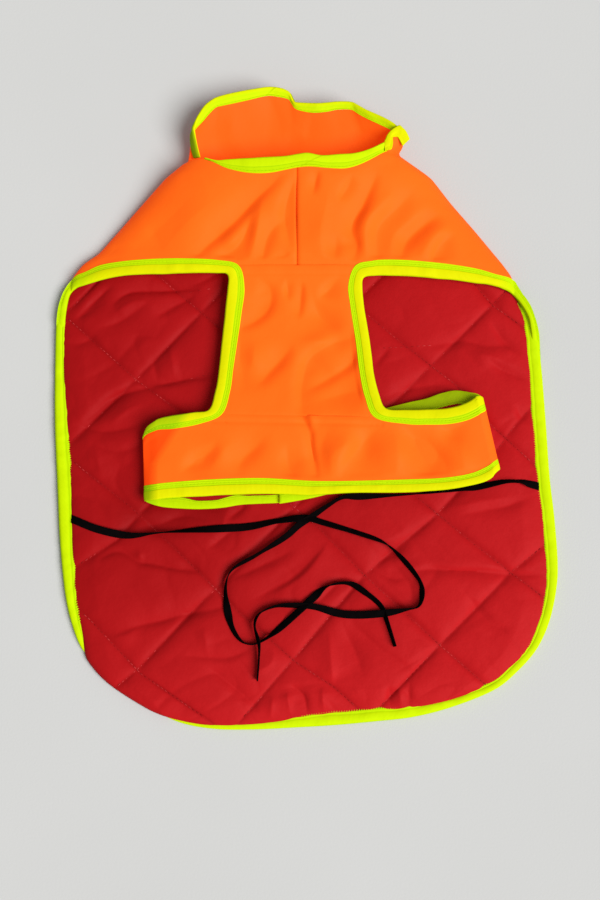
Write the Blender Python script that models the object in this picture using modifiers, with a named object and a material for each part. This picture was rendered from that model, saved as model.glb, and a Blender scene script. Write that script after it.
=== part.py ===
"""A dog's winter coat laid open on its outer side, the quilted lining facing up.

The neck is towards +Y and the hem towards -Y. The shell lies flat on z = 0, the front half
(yoke, chest strip and belly band) arches over the lining, and two flat ties lie on it.
Tables are in millimetres and seen from above; everything is built in metres.
"""

import math

import bmesh
import bpy
from mathutils import Vector

MM = 0.001

# Walls and gaps
CLOTH = 1.4  # yoke, chest strip, belly band and collar
SHELL = 1.2  # the flat outer shell under the lining
TAPE = 2.4  # edging tape, folded over the cloth's edge
TAPE_PROUD = 0.6  # how far a tape's face stands over the cloth's
END_TAPE = 1.8  # the thinner tape of the band's ends
END_TAPE_WIDTH = 10.0
END_TAPE_PROUD = 0.2
SEAM_GAP = 0.35  # between two pieces that are sewn together
TAPE_GAP = 0.6  # between a cloth's border and its tape, which bend unlike each other

# The quilted lining
LINING_BASE = 1.5
LINING_SEAM_TOP = 4.3  # height of its stitch lines
LINING_PUFF = 3.9  # how far a diamond rises over its stitch lines
LINING_RIM = 3.4  # height of the lining at its edges, and how far in it has risen to the full
LINING_EASE = 16.0
LINING_TOP_Y = 140.0
LINING_SHOULDERS = (  # y, distance in from the shoulder folds, under the yoke
    (84, 5),
    (94, 9),
    (104, 12),
    (114, 12),
    (126, 12),
    (138, 12),
)
QUILT_PITCH = 70.0
QUILT_LINES = (  # angle of a family of stitch lines in degrees, and one point on it
    (-41.0, (93.0, -77.0)),
    (45.0, (93.0, -77.0)),
)

# The front half
BAND_MIDDLE = 14.8  # height of the middle of the belly band's loop
BAND_ROUND = 4.4  # outer radius of the loop's two folds
BAND_TOP = BAND_MIDDLE + BAND_ROUND
FOLD_SPLIT = 1.3  # how far over and under its middle the front and the ends stop at a fold
FRONT_CREST = (  # y, height of the front half's highest line there
    (-60, BAND_TOP),
    (-10, BAND_TOP),
    (20, 17.4),
    (50, 16.0),
    (75, 17.2),
    (98, 20.5),
    (130, 26.0),
    (160, 31.0),
    (185, 33.0),
)
SHOULDERS = (  # y, left fold, right fold, height of the folds
    (88, -165, 150, 5.6),
    (92, -163.3, 148.8, 5.6),
    (101, -157, 143, 4.0),
    (109, -146, 137, 2.8),
    (127, -131, 123, 2.2),
    (145, -116, 108, 2.6),
    (163, -99, 93, 7.5),
    (176, -80, 72, 15.0),
    (185, -74, 66, 18.0),
)
CENTRE_SEAM_X = -4.0
SHOULDER_TUCK = 1.5  # the flat shell's border, in from the shoulder folds
SHELL_SHOULDER_YS = (92, 101, 109, 127)

# Edge tape from the left shoulder round the hem to the right shoulder: outer edge x and y,
# the border on the lining x and y, and 1 where the edge rolls under and the tape is hidden
EDGE = (
    (-165.5, 91, -167, 79, 0),
    (-172, 80, -169, 72, 0),
    (-175.5, 66, -169.5, 60, 0),
    (-176, 28, -168, 27, 0),
    (-175, -15, -165, -15, 0),
    (-172, -60, -162, -58, 0),
    (-169, -101, -160, -98, 0),
    (-164, -138, -156, -134, 0),
    (-157, -162, -150, -157, 0.25),
    (-148, -179, -139, -172, 1),
    (-133, -195, -127, -186, 1),
    (-106, -212, -102, -203, 1),
    (-85, -221, -82, -212, 1),
    (-61, -225, -60, -216, 0.85),
    (-33, -225.5, -33, -217, 0.65),
    (-6, -224, -7, -216, 0.35),
    (21, -222, 20, -214, 0),
    (49, -220, 48, -212.5, 0),
    (76, -217, 74, -210, 0),
    (103, -210, 100, -203.5, 0),
    (131, -197.5, 126.5, -192, 0),
    (147, -185, 142, -180, 0),
    (160, -171, 153.5, -167.5, 0),
    (169, -153, 161.5, -150.5, 0),
    (174.5, -132, 166.5, -131, 0),
    (176, -113, 167.5, -112, 0),
    (174, -82, 166, -80, 0),
    (172, -52, 164.5, -50, 0),
    (171, -11, 162.5, -10, 0),
    (169.5, 28, 160.5, 26, 0),
    (166, 60, 157.5, 56, 0),
    (160, 76, 155.5, 66, 0),
    (151.5, 91, 153.5, 74, 0),
)
EDGE_LEFT_END = 12  # row where the left side turns into the hem
EDGE_HEM_END = 18

# Leg openings, from the shoulder along the yoke, down the chest strip and out along the
# belly band: the cloth's border x and y, and the opening's edge x and y
LEG_LEFT = (
    (-162.5, 90.5, -165.5, 78.5),
    (-154, 94, -155, 83),
    (-144, 98, -141, 87.5),
    (-129, 100, -126, 89.5),
    (-110, 101, -109, 90),
    (-85, 101, -85, 90.3),
    (-60, 99.5, -62, 90.2),
    (-45, 95.5, -53, 89),
    (-41, 80, -53, 78),
    (-43, 62, -55, 61),
    (-46, 40, -57, 40),
    (-48.5, 22, -58.5, 22),
    (-50.5, 6, -61, 6),
    (-56, -10.5, -65.5, -6),
    (-71, -16, -76, -8.5),
    (-89, -20, -91, -10.5),
    (-103, -22.5, -103, -13.5),
    (-111, -26, -111, -19.5),
)
LEG_RIGHT = (
    (148.2, 91, 152.3, 74.5),
    (137, 92, 135, 81.5),
    (124, 95, 122, 84.5),
    (105, 97.5, 104, 86.5),
    (80, 99.5, 80, 88),
    (61, 100, 60, 88.5),
    (49, 99, 51, 88.5),
    (37, 95.5, 43, 87),
    (32, 82, 42, 79),
    (33.5, 66, 43.5, 66),
    (37, 42, 47, 43),
    (39.5, 20, 49.5, 21),
    (43, 2, 53, 4),
    (50, -13, 58, -6.5),
    (75, -17, 76, -7),
    (91, -17, 91, -7),
    (109, -15.5, 106, -4.5),
    (127, -9, 124.3, 4),
)
LEG_CORNERS = (7, 13)  # rows where the tape turns down the chest strip and out again

BAND_LOWER = (  # belly band's lower border x and y, and its tape's outer edge x and y
    (-109.4, -60, -108.8, -71),
    (-91, -58, -91, -70),
    (-64, -56, -64, -68.3),
    (-29, -55, -29, -66.3),
    (6, -57, 6, -67),
    (35, -57, 35, -65.5),
    (72, -56, 72, -65),
    (96, -55, 97, -63.5),
    (115, -52, 117, -60),
    (127, -47, 129, -56),
    (134, -42, 135.5, -49.5),
)
BAND_FOLDS = ((-111.2, 0.045), (125.1, 0.212))  # x of the fold at y = 0, and x per mm of -y
BAND_ENDS = {  # from the fold inwards: x, upper edge y, lower edge y, rise over the loop's floor
    "left": (
        (-111, -20, -71, 0),
        (-95, -22, -75, 0),
        (-74, -23, -76, 0),
        (-56, -22, -75, 0),
        (-31, -21, -73, 0),
        (-6, -20, -69.5, 0),
        (8, -20, -68, 0),
    ),
    "right": (
        (125, 4, -49, 0),
        (117, 7, -46, 0),
        (107, 8, -45, 0),
        (92, 4.5, -48, 0),
        (73, -1, -53, 0),
        (50, -7, -58, 0),
        (30, -11, -62.5, 0.9),
        (6, -16, -68.5, 2.3),
        (-16, -20, -72.5, 2.3),
    ),
}

# Neck tape: the cloth's border x and y, and the rim's x and y, left to right
NECK_FRONT = (
    (-79, 171.5, -77, 175),
    (-72, 169.5, -70, 173),
    (-62, 167, -60, 171),
    (-54, 164, -54, 169.5),
    (-46, 161, -46, 169.7),
    (-38, 159, -38, 170),
    (-28, 159, -28, 171),
    (-19, 160.5, -19, 171.7),
    (-4, 163.5, -4, 172.3),
    (20, 163, 20, 172),
    (30, 163.5, 30, 173),
    (38, 166, 37, 175),
    (48.5, 172, 46, 179.5),
    (56, 176, 53, 182.5),
    (62.5, 179, 57.5, 185),
    (63.5, 183.5, 58.8, 187.5),
    (62.3, 188, 59.5, 189.3),
)
NECK_CENTRE = 8  # row on the centre seam
NECK_BACK = (  # the same round the back of the collar, and the rim's height
    (-72.5, 182, -78.5, 181, 17.5),
    (-73.5, 186, -79.5, 187, 19),
    (-73.5, 193, -78.5, 196, 21.5),
    (-69.8, 201, -76, 204.5, 23),
    (-66, 206, -71.5, 212, 24),
    (-61, 210.5, -62.5, 218, 24.5),
    (-52, 213.5, -52.5, 221, 24),
    (-41, 216, -41.5, 223.2, 23),
    (-30, 218.5, -30.5, 225.3, 21.5),
    (-21.5, 219.5, -21.5, 225.7, 20),
    (-12.5, 217, -12, 223.5, 19),
    (-7.5, 211.5, -6.5, 217, 18),
    (-1, 207.7, -1.5, 213.8, 18),
    (9, 207, 9, 213.5, 18),
    (23, 208, 23, 215, 18.5),
    (35, 208.5, 36, 214.7, 19),
    (46, 203.8, 49, 207.5, 19.5),
    (55, 200, 59, 202, 20),
    (62.5, 195.5, 68, 198.5, 21),
    (67, 190.5, 75, 192, 21.5),
    (71.5, 184.5, 76.5, 188, 20),
)
SHELL_TOP_Y = 147.9  # where the flat shell meets the collar
COLLAR_RIM = (3, 19)  # rows between which the collar's cloth reaches the back rim
COLLAR_SIDES = (  # way up the collar, left x, y and height, right x, y and height
    (0.0, -113, 148.3, 0.6, 106, 148.3, 0.6),
    (0.15, -104.5, 156.5, 2.2, 98.5, 156, 2.2),
    (0.3, -96, 165, 5.5, 90, 164, 5.5),
    (0.45, -82, 174.5, 10.5, 74, 174, 11.5),
    (0.6, -80.5, 182, 11.5, 71, 180.5, 13.0),
    (0.8, -78, 191, 13.5, 68.5, 186.5, 15.0),
    (1.0, -69.8, 201, 20.0, 62.5, 195.5, 18.0),
)
RIM_TAPE_RISE = 3.0  # from the collar's cloth to the rim
COLLAR_RISE = 2.4  # how late the collar lifts off the floor: the power of its rise

# Ties: x and y of their middle line, and which tie lies on top at a crossing
TIE_WIDTH = 5.0
TIE_THICK = 1.0
TIE_POINTS = 76
TIE_OVER_LINING = 0.6
TIE_LIFT = 1.8  # over the other tie, gone at about a reach away from the crossing
TIE_LIFT_REACH = 14.0
TIE_LEFT = (
    (-159, -83), (-141, -90), (-120, -94), (-99, -92), (-71, -90), (-39, -88), (-18, -84),
    (2, -82), (14, -85), (40, -93), (56, -99), (66, -107), (77, -120), (82, -130), (80, -142),
    (71, -145), (50, -148), (28, -148), (8, -143), (-8, -142), (-20, -143), (-30, -148),
    (-33, -156), (-30, -168), (-30, -180), (-31, -193),
)  # fmt: skip
TIE_RIGHT = (
    (163, -62), (153, -58), (141, -57.5), (128, -59), (110, -61.5), (90, -64), (66, -66),
    (40, -67), (28, -67.5), (18, -73), (6, -81), (-3, -87), (-12, -95), (-31, -107), (-48, -117),
    (-53, -128), (-52, -144), (-48, -158), (-41, -167), (-32, -168), (-20, -161), (-6, -149),
    (6, -138), (17, -129), (32, -127), (44, -134), (54, -143), (58, -154), (63, -170),
)  # fmt: skip
CROSSINGS = (  # x, y, the tie on top
    (-2, -82, "left"),
    (-1, -142, "right"),
    (-30, -166, "left"),
    (58, -148, "left"),
)

ORANGE, RED, LIME, BLACK = (
    ("orange_nylon", (0.98, 0.16, 0.012), 0.55),
    ("red_quilt", (0.55, 0.008, 0.012), 0.5),
    ("lime_tape", (0.55, 0.85, 0.01), 0.6),
    ("black_tape", (0.004, 0.003, 0.003), 0.7),
)


def between(table, value):
    """The table's columns after the first, at a value of the first, straight between rows."""
    if value <= table[0][0]:
        return table[0][1:]
    for low, high in zip(table, table[1:]):
        if value <= high[0]:
            share = (value - low[0]) / (high[0] - low[0])
            return tuple(a + (b - a) * share for a, b in zip(low[1:], high[1:]))
    return table[-1][1:]


def smooth_row(table, position):
    """All the columns at a fractional row number, on a smooth curve through the rows."""
    index = min(int(position), len(table) - 2)
    t = position - index
    before = table[max(index - 1, 0)]
    start, end = table[index], table[index + 1]
    after = table[min(index + 2, len(table) - 1)]
    return tuple(
        0.5
        * (
            2 * b
            + (c - a) * t
            + (2 * a - 5 * b + 4 * c - d) * t * t
            + (3 * b - a - 3 * c + d) * t * t * t
        )
        for a, b, c, d in zip(before, start, end, after)
    )


def stations(table, first, last, count, crowd=1.0):
    """count + 1 rows from row first to row last, evenly spaced along the first two columns.

    crowd over 1 draws the stations towards the last row.
    """
    fine = [
        smooth_row(table, first + (last - first) * i / 200) for i in range(201)
    ]
    travelled = [0.0]
    for a, b in zip(fine, fine[1:]):
        travelled.append(travelled[-1] + math.dist(a[:2], b[:2]))
    lengths = [(s, *row) for s, row in zip(travelled, fine)]
    shares = [1 - (1 - i / count) ** crowd for i in range(count + 1)]
    return [between(lengths, travelled[-1] * share) for share in shares]


def fold_round(inset):
    """Height over the band's middle, at a distance in from one of its folds."""
    inside = min(max(inset, 0.0), BAND_ROUND) / BAND_ROUND
    return FOLD_SPLIT + (BAND_ROUND - FOLD_SPLIT) * math.sqrt(1 - (1 - inside) ** 2)


def band_inset(x, y):
    """Distance in from the nearer fold of the belly band."""
    (left, lean_left), (right, lean_right) = BAND_FOLDS
    return min(x - (left - lean_left * y), (right - lean_right * y) - x)


def front_height(x, y):
    """Height of the outer face of the front half: yoke, chest strip or belly band."""
    (crest,) = between(FRONT_CREST, y)
    if y < 20:
        return min(crest, BAND_MIDDLE + fold_round(band_inset(x, y)))
    left, right, fold = between(SHOULDERS, y)
    across = abs(x - (left + right) / 2) / ((right - left) / 2)
    return fold + (crest - fold) * max(1 - across**2.6, 0.0) ** 0.55


def lining_height(x, y):
    """Height of the lining's quilted face away from its edges."""
    puff = 1.0
    for degrees, (through_x, through_y) in QUILT_LINES:
        turn = math.radians(degrees)
        off = (y - through_y) * math.cos(turn) - (x - through_x) * math.sin(turn)
        off = abs((off + QUILT_PITCH / 2) % QUILT_PITCH - QUILT_PITCH / 2)
        puff *= 1 - math.exp(-off / 9)
    return LINING_SEAM_TOP + LINING_PUFF * puff


def material(slot):
    """The Principled material of a slot, made once."""
    name, colour, roughness = slot
    made = bpy.data.materials.get(name)
    if made is None:
        made = bpy.data.materials.new(name)
        made.use_nodes = True
        shader = made.node_tree.nodes["Principled BSDF"]
        shader.inputs["Base Color"].default_value = (*colour, 1)
        shader.inputs["Roughness"].default_value = roughness
        shader.inputs["Metallic"].default_value = 0.0
        made.diffuse_color = (*colour, 1)
    return made


def add_piece(name, data, slot):
    piece = bpy.data.objects.new(name, data)
    data.materials.append(material(slot))
    bpy.data.collections["dog_winter_coat"].objects.link(piece)
    return piece


def grid_mesh(name, columns, rows, place):
    """A grid whose vertex at column i and row j lies at place(i, j), in millimetres."""
    grid = bmesh.new()
    bmesh.ops.create_grid(grid, x_segments=columns, y_segments=rows, size=0.5)
    for vertex in grid.verts:
        column = round((vertex.co.x + 0.5) * columns)
        row = round((vertex.co.y + 0.5) * rows)
        vertex.co = Vector(place(column, row)) * MM
    return grid


def cloth(name, columns, rows, place, slot, thickness=CLOTH, above=0.0):
    """A wall of cloth whose outer face is place(i, j), plus above along its normal."""
    grid = grid_mesh(name, columns, rows, place)
    bmesh.ops.recalc_face_normals(grid, faces=grid.faces)
    if sum(face.normal.z for face in grid.faces) < 0:
        bmesh.ops.reverse_faces(grid, faces=grid.faces)
    data = bpy.data.meshes.new(name)
    grid.to_mesh(data)
    grid.free()
    data.shade_smooth()
    piece = add_piece(name, data, slot)
    wall = piece.modifiers.new("wall", "SOLIDIFY")
    wall.thickness = thickness * MM
    wall.offset = 2 * above / thickness - 1
    return piece


def across(row, share, gap=TAPE_GAP):
    """A point across a tape: share 0 is its border on the cloth, a seam's gap off, and 1 its
    free edge."""
    cloth_x, cloth_y, edge_x, edge_y = row[:4]
    width = math.dist((cloth_x, cloth_y), (edge_x, edge_y))
    share = gap / width + (1 - gap / width) * share
    return cloth_x + (edge_x - cloth_x) * share, cloth_y + (edge_y - cloth_y) * share


def edge_stations():
    """The rows of EDGE, made denser: left side from the top, hem, then right side upwards."""
    left = stations(EDGE, 0, EDGE_LEFT_END, 30)
    hem = stations(EDGE, EDGE_LEFT_END, EDGE_HEM_END, 26)
    right = stations(EDGE, EDGE_HEM_END, len(EDGE) - 1, 30)
    return left, hem, right


def lining_border(row):
    """Where the lining ends on a station of the edge tape: over the tape if that is rolled."""
    outer_x, outer_y, inner_x, inner_y, rolled = row
    rolled = min(max(rolled, 0.0), 1.0)
    width = math.dist((outer_x, outer_y), (inner_x, inner_y))
    share = (1 - rolled) * (1 - 0.6 / width) + rolled * 1.6 / width
    return outer_x + (inner_x - outer_x) * share, outer_y + (inner_y - outer_y) * share


def make_back_shell():
    """The flat outer shell that the coat lies on."""
    left, hem, right = edge_stations()
    outline = []
    for outer_x, outer_y, inner_x, inner_y, _ in left + hem[1:] + right[1:-1]:
        width = math.dist((outer_x, outer_y), (inner_x, inner_y))
        share = 1 + SEAM_GAP / width
        outline.append(
            (outer_x + (inner_x - outer_x) * share, outer_y + (inner_y - outer_y) * share)
        )
    shoulders = (*SHELL_SHOULDER_YS, SHELL_TOP_Y)
    outline += [(between(SHOULDERS, y)[1] - SHOULDER_TUCK, y) for y in shoulders]
    outline += [(between(SHOULDERS, y)[0] + SHOULDER_TUCK, y) for y in shoulders[::-1]]
    flat = bpy.data.curves.new("back_shell", "CURVE")
    flat.dimensions = "2D"
    flat.fill_mode = "BOTH"
    flat.extrude = SHELL / 2 * MM
    spline = flat.splines.new("POLY")
    spline.points.add(len(outline) - 1)
    for point, (x, y) in zip(spline.points, outline):
        point.co = (x * MM, y * MM, 0, 1)
    spline.use_cyclic_u = True
    piece = add_piece("back_shell", flat, ORANGE)
    piece.location.z = SHELL / 2 * MM


def make_back_lining():
    """The quilted face on a grid, with straight sides down to a plain underside."""
    left, hem, right = edge_stations()
    sides = [
        (lining_border(a), lining_border(b))
        for a, b in zip(left[::-1][:-2], right[:-2])
    ]
    for y, inset in LINING_SHOULDERS:
        fold_left, fold_right, _ = between(SHOULDERS, y)
        sides.append(((fold_left + inset, y), (fold_right - inset, y)))
    hem = [lining_border(row) for row in hem]
    columns, rows = len(hem) - 1, len(sides) - 1

    def place(column, row):
        (left_x, left_y), (right_x, right_y) = sides[row]
        share = column / columns
        x = left_x + (right_x - left_x) * share
        y = left_y + (right_y - left_y) * share
        hem_x, hem_y = hem[column]
        first_left, first_right = sides[0]
        bow = hem_y - (first_left[1] + (first_right[1] - first_left[1]) * share)
        y += bow * max(1 - row / 6, 0.0)
        near = min(share, 1 - share) * (right_x - left_x)
        near = min(near, y - hem_y, LINING_TOP_Y - y)
        ease = math.sqrt(min(max(near, 0.0) / LINING_EASE, 1.0))
        return x, y, LINING_RIM + (lining_height(x, y) - LINING_RIM) * ease

    grid = grid_mesh("back_lining", columns, rows, place)
    rim = [edge for edge in grid.edges if edge.is_boundary]
    sides_made = bmesh.ops.extrude_edge_only(grid, edges=rim)["geom"]
    for vertex in sides_made:
        if isinstance(vertex, bmesh.types.BMVert):
            vertex.co.z = LINING_BASE * MM
    bmesh.ops.contextual_create(
        grid, geom=[edge for edge in grid.edges if edge.is_boundary]
    )
    bmesh.ops.recalc_face_normals(grid, faces=grid.faces)
    data = bpy.data.meshes.new("back_lining")
    grid.to_mesh(data)
    grid.free()
    data.shade_smooth()
    data.set_sharp_from_angle(angle=math.radians(50))
    add_piece("back_lining", data, RED)


def make_edge_binding():
    """The tape round the coat, swept as one section that folds over the edge."""
    left, hem, right = edge_stations()
    rows = left + hem[1:] + right[1:]
    section = (  # share of the width in from the outer edge, and height for a full tape
        ("hidden", 0.0),
        ("hidden", SHELL),
        ("shown", 1.4),
        ("shown", 4.1),
        (0.5, 4.6),
        (0.12, 3.6),
        (0.0, 1.8),
        (0.06, 0.0),
    )

    def place(corner, station):
        outer_x, outer_y, inner_x, inner_y, rolled = rows[station]
        rolled = min(max(rolled, 0.0), 1.0)
        width = math.dist((outer_x, outer_y), (inner_x, inner_y))
        shown = (1 - rolled) * (width - 1.0) + rolled * 1.0
        share, height = section[corner % len(section)]
        if share == "hidden":
            inwards = width
        elif share == "shown":
            inwards = shown
        else:
            inwards = share * shown
        if height > SHELL:
            height = SHELL + (height - SHELL) * (0.12 + 0.88 * shown / (width - 1.0))
        inwards /= width
        x = outer_x + (inner_x - outer_x) * inwards
        y = outer_y + (inner_y - outer_y) * inwards
        return x, y, height

    tube = grid_mesh("edge_binding", len(section), len(rows) - 1, place)
    bmesh.ops.remove_doubles(tube, verts=tube.verts, dist=1e-7)
    ends = [edge for edge in tube.edges if edge.is_boundary]
    bmesh.ops.holes_fill(tube, edges=ends)
    bmesh.ops.recalc_face_normals(tube, faces=tube.faces)
    data = bpy.data.meshes.new("edge_binding")
    tube.to_mesh(data)
    tube.free()
    data.shade_smooth()
    data.set_sharp_from_angle(angle=math.radians(50))
    add_piece("edge_binding", data, LIME)


YOKE_COLUMNS = 14  # along a leg opening, from the chest strip's corner to the shoulder
SEAM_COLUMNS = 4  # half the chest strip
CHEST_ROWS = 12
BAND_COLUMNS = 10  # from the chest strip's corner to the band's fold


def leg_stretch(table, stretch):
    """Stations of one stretch of a leg opening: along the yoke, the chest strip or the band."""
    top, bottom = LEG_CORNERS
    if stretch == "yoke":
        return stations(table[::-1], len(table) - 1 - top, len(table) - 1, YOKE_COLUMNS, 1.5)
    if stretch == "chest":
        return stations(table, top, bottom, CHEST_ROWS)
    return stations(table, bottom, len(table) - 1, BAND_COLUMNS, 1.7)


def make_yoke(name, leg, side):
    """Half of the yoke, from the centre seam to the shoulder fold."""
    corner = leg_stretch(leg, "yoke")[0]
    sign = -1 if side == "left" else 1
    seam = [
        (
            CENTRE_SEAM_X + (corner[0] - CENTRE_SEAM_X) * i / SEAM_COLUMNS,
            corner[1] + SEAM_GAP / 2,
        )
        for i in range(SEAM_COLUMNS)
    ]
    bottom = seam + [row[:2] for row in leg_stretch(leg, "yoke")]
    columns = len(bottom) - 1
    neck = NECK_FRONT[NECK_CENTRE::-1] if side == "left" else NECK_FRONT[NECK_CENTRE:]
    top = stations(neck, 0, len(neck) - 1, columns, 1.3)
    rows = 8

    def place(column, row):
        up = row / rows
        (low_x, low_y), (high_x, high_y) = bottom[column], top[column][:2]
        x = low_x + (high_x - low_x) * up
        y = low_y + (high_y - low_y) * up
        end_x = bottom[-1][0] + (top[-1][0] - bottom[-1][0]) * up
        fold = between(SHOULDERS, y)[0 if side == "left" else 1]
        x += (fold - end_x) * (column / columns) ** 4
        if column == 0:
            x = CENTRE_SEAM_X + sign * SEAM_GAP / 2
        return x, y, front_height(x, y)

    cloth(name, columns, rows, place, ORANGE)


def make_chest_strip():
    """The panel between the leg openings, from the yoke down to the belly band."""
    left, right = leg_stretch(LEG_LEFT, "chest"), leg_stretch(LEG_RIGHT, "chest")

    def place(column, row):
        (left_x, left_y), (right_x, right_y) = left[row][:2], right[row][:2]
        share = column / (2 * SEAM_COLUMNS)
        x = left_x + (right_x - left_x) * share
        y = left_y + (right_y - left_y) * share
        if row == 0:
            y -= SEAM_GAP / 2
        if row == CHEST_ROWS:
            y += SEAM_GAP / 2
        return x, y, front_height(x, y)

    cloth("chest_strip", 2 * SEAM_COLUMNS, CHEST_ROWS, place, ORANGE)


def band_stations():
    """Top and bottom border of the belly band, column by column."""
    left, right = leg_stretch(LEG_LEFT, "band"), leg_stretch(LEG_RIGHT, "band")
    corner_left, corner_right = left[0], right[0]
    seam = [
        tuple(
            a + (b - a) * i / (2 * SEAM_COLUMNS)
            for a, b in zip(corner_left[:2], corner_right[:2])
        )
        for i in range(1, 2 * SEAM_COLUMNS)
    ]
    top = [row[:2] for row in left[::-1]] + seam + [row[:2] for row in right]
    lower = stations(BAND_LOWER, 0, len(BAND_LOWER) - 1, 60)
    along = (BAND_LOWER[-1][0] - BAND_LOWER[0][0]) / (top[-1][0] - top[0][0])
    bottom = [
        (x, *between(lower, x))
        for x in (BAND_LOWER[0][0] + (x - top[0][0]) * along for x, _ in top)
    ]
    return top, bottom


def make_belly_band():
    """The front of the belly band, from fold to fold."""
    top, bottom = band_stations()
    rows = 4
    seam_columns = range(BAND_COLUMNS, BAND_COLUMNS + 2 * SEAM_COLUMNS + 1)

    def place(column, row):
        (top_x, top_y), (low_x, low_y) = top[column], bottom[column][:2]
        down = row / rows
        if row == 0 and column in seam_columns:
            top_y -= SEAM_GAP / 2
        x = top_x + (low_x - top_x) * down
        y = top_y + (low_y - top_y) * down
        return x, y, front_height(x, y)

    cloth("belly_band", len(top) - 1, rows, place, ORANGE)


def make_tape(name, rows, height, steps=3):
    """An edging tape, thicker than the cloth that it folds over."""

    def place(column, row):
        x, y = across(rows[column], row / steps)
        return x, y, height(x, y)

    cloth(name, len(rows) - 1, steps, place, LIME, TAPE, TAPE_PROUD)


def make_leg_binding(name, leg):
    """The tape of a leg opening, over yoke, chest strip and band in one piece."""
    yoke, chest, band = (leg_stretch(leg, part) for part in ("yoke", "chest", "band"))
    make_tape(name, yoke[::-1] + chest[1:] + band[1:], front_height)


def end_height(side, x, y):
    """Height of the outer face, which looks down, of the band's end behind one fold."""
    rise = between(sorted(BAND_ENDS[side]), x)[2]
    return BAND_MIDDLE + rise - fold_round(band_inset(x, y))


def make_band_end(side):
    """A hidden end of the belly band with the tapes of its two edges."""
    table = BAND_ENDS[side]
    rows = stations(table[::-1], 0, len(table) - 1, 20, 1.6)
    lean = BAND_FOLDS[0 if side == "left" else 1]

    def point(column, down):
        x, upper, lower, _ = rows[column]
        y = upper + (lower - upper) * down
        fold_x = lean[0] - lean[1] * y
        start_x = rows[-1][0]
        x += (fold_x - start_x) * (column / (len(rows) - 1)) ** 3
        return x, y, end_height(side, x, y) - END_TAPE_PROUD

    def strip(name, start, end, steps, slot, thickness, above):
        """A stretch of the end's depth, whose borders are shares of the depth there."""

        def place(column, row):
            x, upper, lower, _ = rows[column]
            depth = upper - lower
            low, high = start(depth), end(depth)
            return point(column, low + (high - low) * row / steps)

        grid = grid_mesh(name, len(rows) - 1, steps, place)
        bmesh.ops.recalc_face_normals(grid, faces=grid.faces)
        if sum(face.normal.z for face in grid.faces) > 0:
            bmesh.ops.reverse_faces(grid, faces=grid.faces)
        data = bpy.data.meshes.new(name)
        grid.to_mesh(data)
        grid.free()
        data.shade_smooth()
        piece = add_piece(name, data, slot)
        wall = piece.modifiers.new("wall", "SOLIDIFY")
        wall.thickness = thickness * MM
        wall.offset = 2 * above / thickness - 1

    def cloth_from(depth):
        return END_TAPE_WIDTH / depth

    def tape_to(depth):
        return (END_TAPE_WIDTH - SEAM_GAP) / depth

    strip(f"band_end_{side}", cloth_from, lambda depth: 1 - cloth_from(depth), 4, ORANGE, CLOTH, 0)
    tape = (2, LIME, END_TAPE, END_TAPE_PROUD)
    strip(f"end_binding_{side}_upper", lambda depth: 0, tape_to, *tape)
    strip(f"end_binding_{side}_lower", lambda depth: 1 - tape_to(depth), lambda depth: 1, *tape)


def make_band_binding():
    """The tape along the belly band's lower edge."""
    _, bottom = band_stations()
    make_tape("band_binding", bottom, front_height)


def make_collar_back():
    """The back half of the neck's tube: flat at its base, with its sides and rim curling up."""
    columns, rows = 34, 9
    first, last = COLLAR_RIM
    rim = stations(NECK_BACK, first, last, columns)
    (top_left_x, top_left_y, _, top_right_x, top_right_y, _) = COLLAR_SIDES[-1][1:]

    def place(column, row):
        share, up = column / columns, row / rows
        left_x, left_y, left_z, right_x, right_y, right_z = between(COLLAR_SIDES, up)
        rim_x, rim_y, _, _, rim_z = rim[column]
        bow_x = rim_x - (top_left_x + (top_right_x - top_left_x) * share)
        bow_y = rim_y - (top_left_y + (top_right_y - top_left_y) * share)
        x = left_x + (right_x - left_x) * share + bow_x * up**2
        y = left_y + (right_y - left_y) * share + bow_y * up**2
        side_z = left_z if share < 0.5 else right_z
        middle_z = (rim_z - RIM_TAPE_RISE) * up**COLLAR_RISE
        return x, y, middle_z + (side_z - middle_z) * abs(2 * share - 1) ** 7

    cloth("collar_back", columns, rows, place, ORANGE, CLOTH, CLOTH)


def make_neck_bindings():
    """The neck's tape: along the yoke, and round the back of the collar."""
    front = stations(NECK_FRONT, 0, len(NECK_FRONT) - 1, 30)
    make_tape("neck_binding_front", front, front_height, 2)
    back = stations(NECK_BACK, 0, len(NECK_BACK) - 1, 40)

    def place(column, row):
        x, y = across(back[column], row / 2, 1.0)
        return x, y, back[column][4] + RIM_TAPE_RISE * (row / 2 - 1)

    cloth("neck_binding_back", len(back) - 1, 2, place, LIME, TAPE, 2.0)


def tie_height(x, y, side):
    """Height of a tie's middle: on the lining, and over the other tie where they cross."""
    around = (-4.0, 0.0, 4.0)
    under = max(lining_height(x + dx, y + dy) for dx in around for dy in around)
    lift = 0.0
    for cross_x, cross_y, top in CROSSINGS:
        if top == side:
            far = math.dist((x, y), (cross_x, cross_y))
            lift = max(lift, TIE_LIFT * math.exp(-((far / TIE_LIFT_REACH) ** 4)))
    return under + TIE_OVER_LINING + TIE_THICK / 2 + lift


def make_tie(name, route, side):
    """A flat tape lying face up along its route."""
    points = stations(route, 0, len(route) - 1, TIE_POINTS)
    tape = bpy.data.curves.new(name, "CURVE")
    tape.dimensions = "3D"
    tape.extrude = (TIE_WIDTH - TIE_THICK) / 2 * MM
    tape.bevel_depth = TIE_THICK / 2 * MM
    tape.bevel_resolution = 1
    tape.use_fill_caps = True
    tape.twist_mode = "Z_UP"
    spline = tape.splines.new("POLY")
    spline.points.add(len(points) - 1)
    for point, (x, y) in zip(spline.points, points):
        point.co = (x * MM, y * MM, tie_height(x, y, side) * MM, 1)
        point.tilt = math.radians(90)
    add_piece(name, tape, BLACK)


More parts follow.
